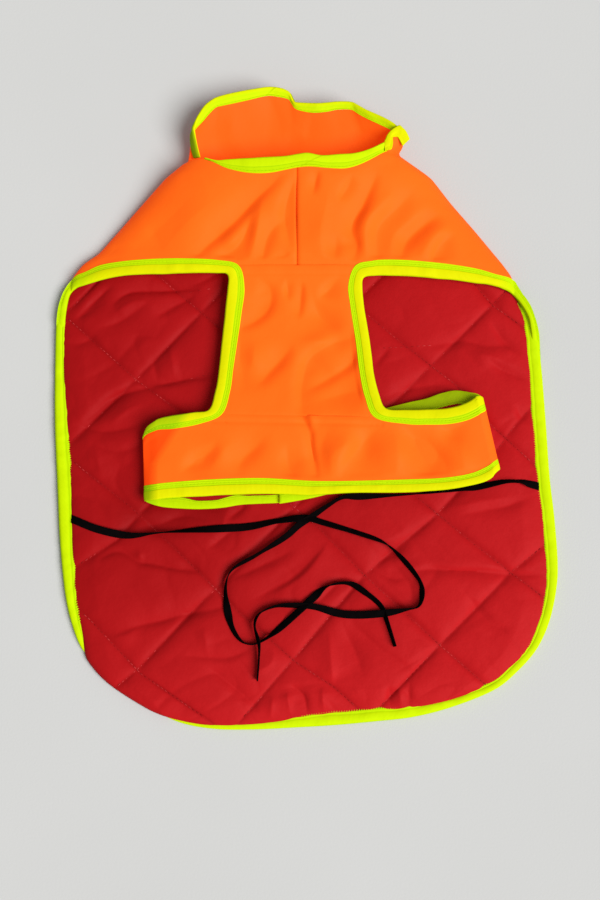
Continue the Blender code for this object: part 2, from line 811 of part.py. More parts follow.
def main():
    for old in list(bpy.data.objects):
        bpy.data.objects.remove(old, do_unlink=True)
    coat = bpy.data.collections.new("dog_winter_coat")
    bpy.context.scene.collection.children.link(coat)
    make_back_shell()
    make_back_lining()
    make_edge_binding()
    make_yoke("yoke_left", LEG_LEFT, "left")
    make_yoke("yoke_right", LEG_RIGHT, "right")
    make_chest_strip()
    make_belly_band()
    make_leg_binding("leg_binding_left", LEG_LEFT)
    make_leg_binding("leg_binding_right", LEG_RIGHT)
    make_band_binding()
    make_band_end("left")
    make_band_end("right")
    make_collar_back()
    make_neck_bindings()
    make_tie("tie_left", TIE_LEFT, "left")
    make_tie("tie_right", TIE_RIGHT, "right")


main()
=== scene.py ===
"""A dog's winter coat, laid open on its outer side with the quilted lining facing up.

The neck is towards +Y and the hem towards -Y. The coat rests on z = 0. Tables give millimetres,
seen from above, and the meshes are made in metres in the row frame.
"""

import math

import bmesh
import bpy
import numpy as np
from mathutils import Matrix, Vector


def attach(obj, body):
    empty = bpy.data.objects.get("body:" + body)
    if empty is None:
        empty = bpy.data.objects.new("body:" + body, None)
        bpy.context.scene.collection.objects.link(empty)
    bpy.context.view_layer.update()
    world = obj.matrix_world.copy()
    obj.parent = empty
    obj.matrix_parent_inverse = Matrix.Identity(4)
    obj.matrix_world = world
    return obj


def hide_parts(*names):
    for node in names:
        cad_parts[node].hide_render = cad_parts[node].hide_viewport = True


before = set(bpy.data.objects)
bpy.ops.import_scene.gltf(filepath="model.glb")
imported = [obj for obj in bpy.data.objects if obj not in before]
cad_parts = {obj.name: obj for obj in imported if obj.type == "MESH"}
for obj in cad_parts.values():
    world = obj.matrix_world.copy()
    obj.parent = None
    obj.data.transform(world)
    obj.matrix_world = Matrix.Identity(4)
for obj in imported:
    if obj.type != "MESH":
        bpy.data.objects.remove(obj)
bpy.ops.object.select_all(action="DESELECT")
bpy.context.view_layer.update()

# ---- The table top under the coat, the view and the light ----
# A pale matt board. The view is almost straight down, from a little towards the hem. Soft light
# from the right and the hem's side rakes the quilting, and the sky has the board's tone.

LOOKED_AT = Vector((-0.0019, -0.033, 0.0))
VIEW_ELEVATION = math.radians(82)
VIEW_DISTANCE = 0.9
CAMERA_SENSOR = 36.0
CAMERA_LENS = 51.0
BOARD_SIZE = 60.0
BOARD_BELOW = 0.0003
LAMP_FROM = Vector((1.42, -0.85, 1.85))
LAMP_SOFTNESS = math.radians(38)
LAMP_POWER = 4.6
SKY_LIGHT = 0.40
SKY_SEEN = 0.66

away = Vector((0, -math.cos(VIEW_ELEVATION), math.sin(VIEW_ELEVATION)))
bpy.ops.object.camera_add(
    location=LOOKED_AT + away * VIEW_DISTANCE,
    rotation=away.to_track_quat("Z", "Y").to_euler(),
)
camera = bpy.context.object
camera.data.sensor_width = CAMERA_SENSOR
camera.data.lens = CAMERA_LENS
bpy.context.scene.camera = camera
bpy.context.scene.view_settings.view_transform = "Standard"

bpy.ops.object.light_add(
    type="SUN", location=LAMP_FROM, rotation=LAMP_FROM.to_track_quat("Z", "Y").to_euler()
)
lamp = bpy.context.object
lamp.data.angle = LAMP_SOFTNESS
lamp.data.energy = LAMP_POWER

room = bpy.data.worlds.new("room")
room.use_nodes = True
sky = room.node_tree.nodes["Background"]
sky.inputs["Color"].default_value = (1, 1, 1, 1)
rays = room.node_tree.nodes.new("ShaderNodeLightPath")
tone = room.node_tree.nodes.new("ShaderNodeMapRange")
tone.inputs["To Min"].default_value = SKY_LIGHT
tone.inputs["To Max"].default_value = SKY_SEEN
room.node_tree.links.new(rays.outputs["Is Camera Ray"], tone.inputs["Value"])
room.node_tree.links.new(tone.outputs["Result"], sky.inputs["Strength"])
bpy.context.scene.world = room


class Shade:
    """A number on a shader socket. Arithmetic on it adds Math nodes."""

    def __init__(self, finish, socket):
        self.finish = finish
        self.socket = socket

    def maths(self, operation, *values):
        return self.finish.node("Math", {"operation": operation}, dict(enumerate(values)))

    def __add__(self, other):
        return self.maths("ADD", self, other)

    def __sub__(self, other):
        return self.maths("SUBTRACT", self, other)

    def __rsub__(self, other):
        return self.maths("SUBTRACT", other, self)

    def __mul__(self, other):
        return self.maths("MULTIPLY", self, other)

    def __rmul__(self, other):
        return self.maths("MULTIPLY", other, self)

    def sine(self):
        return self.maths("SINE", self)

    def clamp(self):
        return self.maths("MAXIMUM", self.maths("MINIMUM", self, 1.0), 0.0)

    def past(self, start, rise):
        """0 up to a start, then up to 1 by rise a metre, or the other way if rise is negative."""
        return ((self - start) * rise).clamp()


class Finish:
    """One cloth's material, whose nodes are made by node()."""

    def __init__(self, name, roughness, gloss, glow=(0, 0, 0)):
        self.material = bpy.data.materials.new(name)
        self.material.use_nodes = True
        self.tree = self.material.node_tree
        self.shader = self.tree.nodes["Principled BSDF"]
        self.set("Roughness", roughness)
        self.set("Specular IOR Level", gloss)
        self.set("Emission Color", (*glow, 1))
        self.set("Emission Strength", 1.0 if any(glow) else 0.0)

    def set(self, name, value):
        self.join(self.shader.inputs[name], value)

    def join(self, socket, value):
        if isinstance(value, Shade):
            self.tree.links.new(value.socket, socket)
        else:
            socket.default_value = value

    def node(self, kind, settings, sockets, output=0):
        made = self.tree.nodes.new("ShaderNode" + kind)
        stops = settings.pop("stops", ())
        for key, value in settings.items():
            setattr(made, key, value)
        for number, (position, colour) in enumerate(stops):
            bar = made.color_ramp.elements
            stop = bar[number] if number < 2 else bar.new(position)
            stop.position = position
            stop.color = (*colour, 1)
        for key, value in sockets.items():
            self.join(made.inputs[key], value)
        return Shade(self, made.outputs[output])

    def place(self, kind="Object"):
        """The three coordinates of a point in metres, or along and across a piece for UV."""
        spot = self.node("TexCoord", {}, {}, kind)
        axes = self.node("SeparateXYZ", {}, {"Vector": spot})
        return [Shade(self, axes.socket.node.outputs[axis]) for axis in "XYZ"]

    def patches(self, size, detail):
        """Soft random patches, about this many metres across, round a middle of 0.5."""
        spot = self.node("TexCoord", {}, {}, "Object")
        return self.node("TexNoise", {}, {"Vector": spot, "Scale": 1 / size, "Detail": detail})

    def mix(self, share, first, second):
        sockets = {0: share, 6: first, 7: second}
        return self.node("Mix", {"data_type": "RGBA"}, sockets, 2)

    def bump(self, height, metres):
        sockets = {"Height": height, "Distance": metres, "Strength": 1.0}
        self.set("Normal", self.node("Bump", {}, sockets))


bpy.ops.mesh.primitive_plane_add(size=BOARD_SIZE, location=(0, 0, -BOARD_BELOW))
board = bpy.context.object
board.name = "board"
board_finish = Finish("pale_board", 0.8, 0.2)
board_tint = board_finish.patches(0.35, 4.0)
board_finish.set(
    "Base Color", board_finish.mix(board_tint, (0.43, 0.43, 0.42, 1), (0.48, 0.48, 0.47, 1))
)
board_finish.bump(board_finish.patches(0.0015, 3.0), 0.00008)
board.data.materials.append(board_finish.material)

# ---- The quilted lining ----
# Red nylon taffeta over thin wadding, sewn through in diamonds with a pale thread. It fills the
# inside of the coat from the hem to the shoulders, and its border lies under the edge tape.

MM = 0.001
# The edge tape, from the left shoulder round the hem to the right one: its outer edge x and y,
# its inner edge x and y, and 1 where the edge rolls under and hides the tape
EDGE = (
    (-163, 90, -166, 79, 0), (-171, 80, -168.5, 72, 0), (-175.5, 66, -169.5, 60, 0),
    (-176, 28, -168, 27, 0), (-175, -15, -165, -15, 0), (-172, -60, -161, -58, 0),
    (-169, -101, -158.7, -98, 0), (-164, -138, -156, -134, 0), (-157, -162, -150, -157, 0.25),
    (-148, -179, -139, -172, 1), (-133, -195, -127, -186, 1), (-106, -212, -102, -203, 1),
    (-85, -221.6, -82, -212, 0.72), (-61, -226, -60, -216, 0.62), (-33, -226.2, -33, -217.4, 0.42),
    (-6, -224.9, -7, -215.4, 0.2), (21, -223.3, 20, -212.9, 0), (49, -220.8, 48, -211.5, 0),
    (76, -217.7, 74, -208.8, 0), (103, -210.8, 100, -204, 0), (131.6, -199.4, 127, -194, 0),
    (148.2, -186.4, 143.2, -181.3, 0), (161.4, -171.6, 154.8, -168.2, 0),
    (170.3, -153.4, 162.6, -151, 0), (175.7, -132, 167.4, -131, 0), (177.4, -113, 167.8, -112, 0),
    (176, -82, 166, -80, 0), (173.4, -52, 163, -50, 0), (171.6, -11, 161.2, -10, 0),
    (169.5, 28, 159.3, 26, 0), (166.5, 60, 157.5, 56, 0), (160.5, 76, 155, 66, 0),
    (148.5, 89, 152.5, 74.5, 0),
)  # fmt: skip
EDGE_LEFT_END, EDGE_HEM_END = 12, 18  # its rows where the hem starts and ends
SIDE_STEPS = 300
SIDE_KEPT = 291  # how many points of a side's border a panel takes before the shoulder
HEM_BOW_ROWS = 60  # over how many rows of a panel the hem's bow fades out
SHOULDERS = (  # y, left fold, right fold, height of the folds
    (88, -165, 150, 5.6), (92, -163.3, 148.8, 5.6), (101, -157, 143, 4.0),
    (109, -146, 137, 2.8), (127, -131, 123, 2.2), (145, -116, 108, 2.6),
    (163, -99, 93, 7.5), (176, -80, 71.4, 15.0), (178.5, -78.5, 67.2, 16),
    (182, -76.5, 70.4, 17.0), (185, -74, 71.5, 18.0), (190, -72, 71.5, 19.0),
)  # fmt: skip
LINING_SHOULDERS = ((84, 0.8), (94, 7), (104, 12), (114, 12), (126, 12), (138, 12))
LINING_BASE = 1.5  # height of its underside
LINING_SEAM_TOP = 4.3  # height of its face where a stitch line pulls it in
LINING_PUFF = 3.9  # how much higher the middle of a diamond is
LINING_LEAST = 2.3  # no crease of the face goes lower than this
LINING_RIM = 3.4  # height of the face at the border
LINING_EASE = 16.0  # the distance over which it sinks to that
LINING_TOP_Y = 140.0
LINING_UNDER_TAPE = 2.6  # how far it reaches in under the tape's lip
LINING_COLUMNS, LINING_ROWS = 282, 330
# Where the lower left corner rolls under: x and y below which it does, how far its rim sinks,
# within which distance of the border, and the height of its underside
ROLL_X, ROLL_Y = -70.0, -150.0
ROLL_DROP = 1.6
ROLL_REACH = 2.2
ROLL_BASE = 0.3
QUILT_PITCH = 70.0
# The two families of stitch lines: direction in degrees, and a point on the middle line
QUILT_LINES = ((-41.0, (93.0, -77.0)), (45.0, (93.0, -77.0)))
QUILT_FALLS = (4.6, 3.8)  # how fast the cloth rises beside each family's stitches
QUILT_SHARP_FALL = 1.9  # the quick start of that rise
QUILT_WIDE_FALL = 16.0  # and its slow end
# Painted shade in each family's stitch grooves: how much darker the cloth is there
QUILT_GROOVE_SHADE = (0.36, 0.2)  # how much darker the cloth is where each family pulls it in
PUCKER = 0.42  # height of the puckers along the stitches, with their length and reach
PUCKER_SIZE = 7.5
PUCKER_REACH = 7.0
# Small folds at random places: size, depth, turn in radians, and seed
SMALL_FOLDS = ((19, 1.0, 0.5, 54), (11, 0.6, -0.8, 56))
SMALL_FOLD_STRETCH = 0.38  # their width as a share of their length
# How far each stitch line of a family strays to its left: line number, then place along it
# and distance
QUILT_BENDS = (
    (
        (-3, (-131, -3.7), (-81, -8.0), (-24, -0.8)),
        (-2, (-205, 0.2), (-163, 2.5), (-105, 0.5), (-60, -2.3), (-6, -2.5), (24, 2.0)),
        (-1, (-285, 3.5), (-221, 2.4), (-185, 5.7), (-54, 8.8), (-10, 4.0), (61, 1.3)),
        (0, (-17, -1.1), (34, -0.1), (94, 3.3)),
        (1, (-129, 5.6), (-95, 6.1), (-48, 8.8), (-12, 2.3), (30, 0.4)),
        (2, (-83, 2.9), (-64, -0.6), (-38, 1.3)),
    ),
    (
        (-1, (-113, 4.0), (-64, 4.1), (9, 3.9), (35, 0.4)),
        (0, (-198, -6.3), (-143, -1.9), (-93, 2.6), (-67, 4.1), (-44, 2.4), (-2, -2.0),
         (16, -1.3), (64, 0.1), (85, 3.3)),
        (1, (-241, 0.7), (-220, -0.8), (-161, 0.9), (-141, 0.1), (50, 4.6), (98, 4.7)),
        (2, (-203, 10.1), (-171, 3.0), (-144, 4.9)),
        (3, (-82, 5.4), (-7, 7.6)),
    ),
)  # fmt: skip
LINING_CREASE_SCALE = 2.2
LINING_CRISP = 0.4  # how much of each crease's height falls away sharply
# Creases of the lining: height, width, and the points that each runs through
LINING_CREASES = (
    (-1.2, 5, (-158, 62), (-149, 73), (-136, 84)),
    (-1.8, 14, (-124, -64), (-100, -69), (-72, -72), (-48, -76)),
    (0.8, 6, (-50, -74), (-54, -82), (-56, -91)),
    (-1.3, 5, (-135, 72), (-124, 78), (-109, 80), (-76, 81)),
    (0.7, 6, (-136, 64), (-116, 72), (-104, 68)),
    (-1.4, 5, (-119, 17), (-103, 13), (-84, 16), (-64, 20)),
    (0.6, 5, (-93, 38), (-91, 21)),
    (-0.6, 4, (-105, 31), (-102, 17)),
    (-1.4, 5, (-154, -14), (-138, 1), (-122, 7), (-104, 11)),
    (0.7, 6, (-136, -13), (-123, -5), (-115, -3)),
    (-1.2, 7, (-164, -17), (-138, -19), (-114, -15)),
    (-0.9, 9, (-160, -66), (-146, -71), (-136, -81)),
    (-1.6, 9, (-111, -88), (-90, -82), (-67, -82)),
    (-1.0, 5, (-53, -83), (-41, -74), (-38, -68)),
    (-1.0, 5, (-65, -102), (-53, -92), (-44, -89)),
    (-1.1, 4, (-140, -110), (-127, -104), (-113, -112), (-90, -117), (-73, -119)),
    (0.6, 4, (-115, -104), (-113, -110)),
    (-1.4, 7, (-126, -161), (-98, -152), (-68, -146), (-52, -143)),
    (0.8, 6, (-129, -165), (-114, -159)),
    (-0.8, 5, (-80, -177), (-52, -178), (-37, -172)),
    (0.6, 6, (-69, -159), (-66, -174)),
    (-1.1, 6, (-66, -184), (-45, -199), (-33, -211)),
    (0.9, 6, (19, -161), (20, -180), (21, -195)),
    (-1.4, 10, (27, -155), (35, -172), (40, -186)),
    (-1.2, 5, (-8, -197), (1, -204), (3, -216)),
    (0.7, 5, (-22, -204), (-22, -217)),
    (0.7, 4, (-11, -202), (-9, -215)),
    (0.7, 4, (14, -198), (15, -213)),
    (-0.8, 5, (32, -154), (51, -168), (73, -188)),
    (-1.0, 4, (60, -198), (61, -211)),
    (-1.0, 4, (73, -196), (74, -209)),
    (0.6, 4, (66, -197), (68, -210)),
    (-1.3, 4, (78, -118), (107, -117), (141, -119), (167, -121)),
    (-1.2, 8, (112, -80), (137, -75), (159, -66)),
    (0.8, 8, (105, -75), (128, -71), (147, -66)),
    (-1.1, 7, (-34, -139), (-7, -123), (14, -103)),
    (0.8, 7, (-20, -135), (3, -119), (18, -99)),
    (-0.9, 6, (-46, -123), (-25, -113), (-7, -104)),
    (-1.0, 5, (11, -141), (26, -125), (40, -127)),
    (-1.0, 5, (49, -117), (60, -123), (70, -123)),
    (-0.8, 5, (63, -113), (74, -127), (76, -141)),
    (-1.2, 5, (134, 56), (145, 43), (154, 37)),
    (-1.2, 6, (130, 29), (144, 21), (160, 17)),
    (-0.9, 6, (91, 40), (112, 45), (131, 41), (149, 43)),
    (0.7, 7, (121, 35), (135, 31), (144, 27)),
    (-0.7, 5, (50, 26), (55, 32), (60, 38)),
    (-1.2, 9, (59, 4), (80, 10), (103, 14)),
    (-0.8, 4, (151, -3), (154, -10), (161, -15)),
    (-0.9, 6, (122, 86), (131, 79), (141, 67)),
    (-0.8, 6, (-96, -24), (-126, -34), (-142, -31)),
    (-0.7, 7, (-128, -43), (-131, -57), (-123, -71)),
    (0.6, 8, (-144, -34), (-141, -48)),
    (-0.9, 5, (-78, 77), (-92, 69), (-102, 62)),
    (-0.8, 5, (-109, 72), (-128, 60), (-144, 55)),
    (-0.8, 6, (-166, 45), (-156, 44), (-146, 50)),
    (0.6, 5, (-38, -189), (-22, -181), (-20, -172)),
    (-0.9, 5, (115, -138), (129, -154), (140, -157)),
    (0.7, 9, (49, -99), (63, -95), (72, -88)),
    (-0.9, 9, (72, -99), (63, -108), (49, -111)),
)
# The stretch of cloth below the band's left part that gets a painted shadow: its middle, half
# its length and width, its slant, and how dark it is
SHADED_X, SHADED_Y = -88.0, -77.84
SHADED_LENGTH, SHADED_WIDTH = 42.0, 13.0
SHADED_SLANT = 0.08
SHADED_DARK = 0.3


def through(table, position):
    """The table's columns at fractional row numbers, on a smooth curve through its rows."""
    table = np.asarray(table, float)
    position = np.clip(np.asarray(position, float), 0, len(table) - 1)
    start = np.minimum(position.astype(int), len(table) - 2)
    t = (position - start)[:, None]
    a, b, c, d = (table[np.clip(start + step, 0, len(table) - 1)] for step in (-1, 0, 1, 2))
    cubic = (3 * b - a - 3 * c + d) * t**3
    return 0.5 * (2 * b + (c - a) * t + (2 * a - 5 * b + 4 * c - d) * t**2 + cubic)


def travelled(points):
    """Distance along a line of points up to each of them."""
    steps = np.linalg.norm(np.diff(points, axis=0), axis=1)
    return np.concatenate(([0.0], np.cumsum(steps)))


def resampled(rows, count, columns=2):
    """count + 1 rows at even distances along the first columns."""
    distance = travelled(rows[:, :columns])
    even = np.linspace(0, distance[-1], count + 1)
    return np.stack([np.interp(even, distance, column) for column in rows.T], 1)


def spaced(table, count, first=0, last=None):
    """count + 1 smooth rows of the table, or of it from row first to row last, evenly spaced."""
    last = len(table) - 1 if last is None else last
    return resampled(through(table, np.linspace(first, last, 900)), count)


def looked_up(table, value, column, soften=0.0):
    """A column of the table at values of its first column, softened over some millimetres."""
    rows = np.asarray(table, float)
    steps = (-1.0, -0.5, 0.0, 0.5, 1.0)
    read = [np.interp(value + soften * step, rows[:, 0], rows[:, column]) for step in steps]
    return sum(read) / len(steps)


def unevenness(x, y, size, seed):
    """Smooth random waves between about -1 and 1, a size across."""
    table = np.random.default_rng(seed).uniform(-1, 1, (256, 256))
    u, v = x / size + 128.3, y / size + 128.7
    i, j = np.floor(u).astype(int), np.floor(v).astype(int)
    s, t = u - i, v - j
    s, t = s * s * (3 - 2 * s), t * t * (3 - 2 * t)
    i, j = i % 255, j % 255
    low = table[i, j] * (1 - s) + table[i + 1, j] * s
    high = table[i, j + 1] * (1 - s) + table[i + 1, j + 1] * s
    return low * (1 - t) + high * t


def relief(x, y, creases, crisp, wide=1.0):
    """Height of listed troughs and ridges, each a row of soft brush strokes that is steeper
    on one side and fades at its ends. crisp is the share of the height that falls away sharply,
    and wide scales their widths."""
    total = np.zeros_like(x)
    bent_x = x + 1.8 * unevenness(x, y, 19, 3)
    bent_y = y + 1.8 * unevenness(x, y, 19, 4)
    for number, (height, width, *points) in enumerate(creases):
        width = width * wide
        line = through(points, np.linspace(0, len(points) - 1, 60))
        strokes = max(6, int(travelled(line)[-1] / (0.35 * width)))
        line = resampled(line, strokes)
        gap = np.linalg.norm(line[1] - line[0])
        reach = max(1.5 * gap, 0.55 * width)
        low, high = line.min(0) - 2.6 * width - 2, line.max(0) + 2.6 * width + 2
        near = (x > low[0]) & (x < high[0]) & (y > low[1]) & (y < high[1])
        px, py = bent_x[near], bent_y[near]
        lean = 0.3 if number % 2 else -0.3
        brushed = np.zeros(px.shape)
        shares = np.linspace(0, 1, strokes + 1)
        for place, run, share in zip(line, np.gradient(line, axis=0), shares):
            run = run / np.hypot(*run)
            along = (px - place[0]) * run[0] + (py - place[1]) * run[1]
            off = (py - place[1]) * run[0] - (px - place[0]) * run[1]
            swell = math.sin(math.pi * (0.04 + 0.92 * share)) ** (0.4 + width / 18)
            spread = width * (0.65 + 0.35 * swell) * (1 + lean * np.sign(off))
            fall = (1 - crisp) * np.exp(-((np.abs(off) / spread) ** 1.8))
            fall = fall + crisp * np.exp(-3 * np.abs(off) / spread)
            brushed += swell * fall * np.exp(-((along / reach) ** 2))
        total[near] += height * brushed * gap / (reach * math.sqrt(math.pi))
    return total


def quilt_place(x, y, number):
    """Distance from the nearest stitch line of a family, place along it, and its number."""
    degrees, (through_x, through_y) = QUILT_LINES[number]
    turn = math.radians(degrees)
    off = (y - through_y) * math.cos(turn) - (x - through_x) * math.sin(turn)
    run = (y - through_y) * math.sin(turn) + (x - through_x) * math.cos(turn)
    bends = QUILT_BENDS[number]
    strays = [np.interp(run, *np.array(bends_here).T) for _, *bends_here in bends]
    numbers = np.array([bend[0] for bend in bends])
    place = np.clip(off / QUILT_PITCH, numbers[0], numbers[-1]) - numbers[0]
    low = np.minimum(place.astype(int), len(bends) - 2)
    strays = np.stack(strays)
    one, two = (np.take_along_axis(strays, (low + k)[None], 0)[0] for k in (0, 1))
    off = off - (one + (two - one) * (place - low))
    line = np.round(off / QUILT_PITCH)
    return off - line * QUILT_PITCH, run, line


def lining_top(x, y):
    """Height of the lining's face away from its edges: diamonds, puckers and creases."""
    puff = 1.0
    pucker = 0.0
    for number, fall in enumerate(QUILT_FALLS):
        off, run, line = quilt_place(x, y, number)
        fall = fall * (1 + 0.3 * unevenness(run, line * 40, 31, 40 + number))
        waves = unevenness(run + line * 61, off * 0.45, PUCKER_SIZE, 30 + number)
        off = np.abs(off)
        steep = 1 - np.exp(-off / fall)
        sharp = 1 - np.exp(-off / QUILT_SHARP_FALL)
        wide = 1 - np.exp(-off / QUILT_WIDE_FALL)
        puff = puff * (0.3 * sharp + 0.4 * steep + 0.3 * wide)
        pucker = pucker + PUCKER * waves * np.exp(-off / PUCKER_REACH) * (1 - np.exp(-off))
    full = LINING_PUFF * (0.96 + 0.2 * unevenness(x, y, 58, 51))
    soft = 0.5 * unevenness(x, y, 34, 52) + 0.22 * unevenness(x, y, 13, 53)
    creases = LINING_CREASE_SCALE * relief(x, y, LINING_CREASES, LINING_CRISP)
    for size, depth, turn, seed in SMALL_FOLDS:
        along = SMALL_FOLD_STRETCH * (x * math.cos(turn) + y * math.sin(turn))
        across = y * math.cos(turn) - x * math.sin(turn)
        fold = 1 - np.minimum(2.4 * np.abs(unevenness(along, across, size, seed)), 1)
        some = np.clip(0.45 + unevenness(x, y, 1.6 * size, seed + 1), 0, 1)
        creases = creases - depth * some * fold**1.5 * puff
    face = LINING_SEAM_TOP + full * puff + pucker + soft * puff + creases
    return np.maximum(face, LINING_LEAST)


left_side = spaced(EDGE, SIDE_STEPS, 0, EDGE_LEFT_END)
right_side = spaced(EDGE, SIDE_STEPS, EDGE_HEM_END)
hem_side = spaced(EDGE, LINING_COLUMNS, EDGE_LEFT_END, EDGE_HEM_END)


def lining_border(rows):
    """Where the lining ends on the edge tape's rows: under its lip, or over it if rolled."""
    outer, inner = rows[:, :2], rows[:, 2:4]
    rolled = np.clip(rows[:, 4], 0, 1)
    width = np.linalg.norm(inner - outer, axis=1)
    share = ((1 - rolled) * (width - LINING_UNDER_TAPE) - rolled * 0.5) / width
    return outer + (inner - outer) * share[:, None]


def spread_between(border, shoulders, columns, rows):
    """Points of a panel between the left and the right side, bowed down to the hem: x, y, and
    how far each lies from the nearest border."""
    left = np.vstack((border(left_side)[::-1][:SIDE_KEPT], [(a, y) for a, _, y in shoulders]))
    right = np.vstack((border(right_side)[:SIDE_KEPT], [(b, y) for _, b, y in shoulders]))
    pairs = resampled(np.hstack((left, right)), rows, 4)
    hem = resampled(border(hem_side), columns)
    share = np.linspace(0, 1, columns + 1)[:, None]
    x = pairs[:, 0] + (pairs[:, 2] - pairs[:, 0]) * share
    y = pairs[:, 1] + (pairs[:, 3] - pairs[:, 1]) * share
    climbed = np.linspace(0, 1, rows + 1) * rows / HEM_BOW_ROWS
    bow = hem[:, 1:] - (pairs[0, 1] + (pairs[0, 3] - pairs[0, 1]) * share)
    y = y + bow * np.maximum(1 - climbed, 0) ** 1.4
    x[:, 0] = hem[:, 0]
    near = np.minimum(share, 1 - share) * (pairs[:, 2] - pairs[:, 0])
    near = np.minimum(near, y - hem[:, 1:])
    return x, y, np.maximum(near, 0.0)


def pick(piece):
    """Selects one piece alone."""
    bpy.ops.object.select_all(action="DESELECT")
    piece.select_set(True)
    bpy.context.view_layer.objects.active = piece


def grid_piece(name, x, y, z, u, v):
    """A grid of cloth whose vertex at column i and row j lies at x[i, j], y[i, j], z[i, j]."""
    columns, rows = x.shape[0] - 1, x.shape[1] - 1
    bpy.ops.mesh.primitive_grid_add(x_subdivisions=columns, y_subdivisions=rows, size=2)
    piece = bpy.context.object
    data = piece.data
    piece.name = data.name = name
    spots = np.empty(len(data.vertices) * 3)
    data.vertices.foreach_get("co", spots)
    i, j = np.rint((spots.reshape(-1, 3)[:, :2].T + 1) / 2 * [[columns], [rows]]).astype(int)
    moved = np.stack((x[i, j], y[i, j], z[i, j]), 1) * MM
    data.vertices.foreach_set("co", moved.ravel())
    corners = np.empty(len(data.loops), int)
    data.loops.foreach_get("vertex_index", corners)
    laid = np.stack((u[i, j][corners], v[i, j][corners]), 1)
    data.uv_layers[0].data.foreach_set("uv", laid.ravel())
    data.update()
    return piece


def give_values(piece, name, values):
    """Stores a number at each vertex of a grid piece, from columns by rows of them."""
    columns, rows = values.shape[0] - 1, values.shape[1] - 1
    data = piece.data
    order = np.arange((columns + 1) * (rows + 1))
    layer = data.attributes.new(name, "FLOAT", "POINT")
    layer.data.foreach_set("value", values[order % (columns + 1), order // (columns + 1)])


def finish_cloth(piece, finish, angle=40):
    """Shades a piece smoothly, gives it its finish and lets it ride on the coat."""
    pick(piece)
    bpy.ops.object.shade_smooth_by_angle(angle=math.radians(angle))
    piece.data.materials.clear()
    piece.data.materials.append(finish.material)
    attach(piece, "root")


def sew(name, starts, ends, thick, finish):
    """Short stitches of thread from starts to ends, all in one mesh."""
    bpy.ops.mesh.primitive_uv_sphere_add(segments=6, ring_count=4, radius=1)
    pattern = bpy.context.object
    spots = np.array([vertex.co for vertex in pattern.data.vertices])
    faces = [list(face.vertices) for face in pattern.data.polygons]
    bpy.data.objects.remove(pattern)
    along = (ends - starts) / 2
    flat = np.stack((-along[:, 1], along[:, 0], np.zeros(len(along))), 1)
    flat /= np.linalg.norm(flat, axis=1)[:, None]
    up = np.cross(along, flat)
    up /= np.linalg.norm(up, axis=1)[:, None]
    middle = (starts + ends) / 2
    swell = np.sign(spots[:, 2]) * np.abs(spots[:, 2]) ** 0.6
    points = (
        middle[:, None]
        + along[:, None] * swell[None, :, None]
        + flat[:, None] * spots[None, :, :1] * thick / 2
        + up[:, None] * spots[None, :, 1:2] * thick / 2
    )
    every = np.arange(len(starts)) * len(spots)
    data = bpy.data.meshes.new(name)
    placed = [[corner + first for corner in face] for first in every.tolist() for face in faces]
    data.from_pydata((points.reshape(-1, 3) * MM).tolist(), [], placed)
    piece = bpy.data.objects.new(name, data)
    bpy.context.scene.collection.objects.link(piece)
    finish_cloth(piece, finish, 80)


# The red cloth: a close, slightly shiny weave, a little uneven in colour, with painted light and
# shade
red = Finish("red_quilt_cloth", 0.55, 0.03)
red_x, red_y, _ = red.place()
# Painted light: the red is brighter towards the right, where the lamp is, with random patches
red_painted_side_light_patchy = (red_x * 3.9 + red.patches(0.05, 3.0) * 0.5 + 0.25).clamp()
red_base = red.mix(red_painted_side_light_patchy, (0.275, 0.0042, 0.0052, 1), (0.375, 0.0072, 0.0090, 1))
# Painted light: brighter again towards the hem and the right, with random patches
red_painted_hem_light_patchy = ((-0.10 - red_y) * 9 + red_x * 1.8 + red.patches(0.05, 2.0) * 0.4 - 0.2).clamp()
red_lit = red.mix(red_painted_hem_light_patchy * 0.65, red_base, (0.44, 0.0092, 0.0112, 1))
red_fine = red.patches(0.0016, 2.0)
red_tint = red.mix(red_fine * 0.3, red_lit, (0.24, 0.004, 0.005, 1))
# Painted shade in the stitch grooves and a painted shadow below the band's left part darken the red
# here
red_shade_share = red.node("Attribute", {"attribute_name": "painted_shade"}, {}, "Fac")
red.set("Base Color", red.mix(red_shade_share, red_tint, (0.11, 0.0015, 0.002, 1)))
red.set("Roughness", red.patches(0.012, 2.0) * 0.16 + 0.42)
RED_THREADS = 2 * math.pi / 0.0009
red_weave = (red_x * RED_THREADS).sine() * (red_y * RED_THREADS).sine()
red.bump(red_weave * 0.3 + red_fine + 6 * red.patches(0.006, 3.0), 0.00005)

# The quilting thread
pale_thread = Finish("pale_quilting_thread", 0.6, 0.05)
thread_fade = ((pale_thread.patches(0.011, 1.0) - 0.5) * 6 + 0.1).clamp()
thread_tint = pale_thread.mix(thread_fade, (0.27, 0.007, 0.008, 1), (0.48, 0.042, 0.042, 1))
pale_thread.set("Base Color", thread_tint)

lining_folds = [
    (looked_up(SHOULDERS, y, 1) + inset, looked_up(SHOULDERS, y, 2) - inset, y)
    for y, inset in LINING_SHOULDERS
]
x, y, near = spread_between(lining_border, lining_folds, LINING_COLUMNS, LINING_ROWS)
near = np.minimum(near, np.maximum(LINING_TOP_Y - y, 0.0))
hem_rolled = np.clip(resampled(hem_side, LINING_COLUMNS)[:, 4:], 0, 1)
z = LINING_RIM + (lining_top(x, y) - LINING_RIM) * np.sqrt(np.clip(near / LINING_EASE, 0, 1))
z = z - ROLL_DROP * np.exp(-near / ROLL_REACH) * hem_rolled * (y < ROLL_Y)
lining = grid_piece("quilted_lining", x, y, z, x * MM, y * MM)
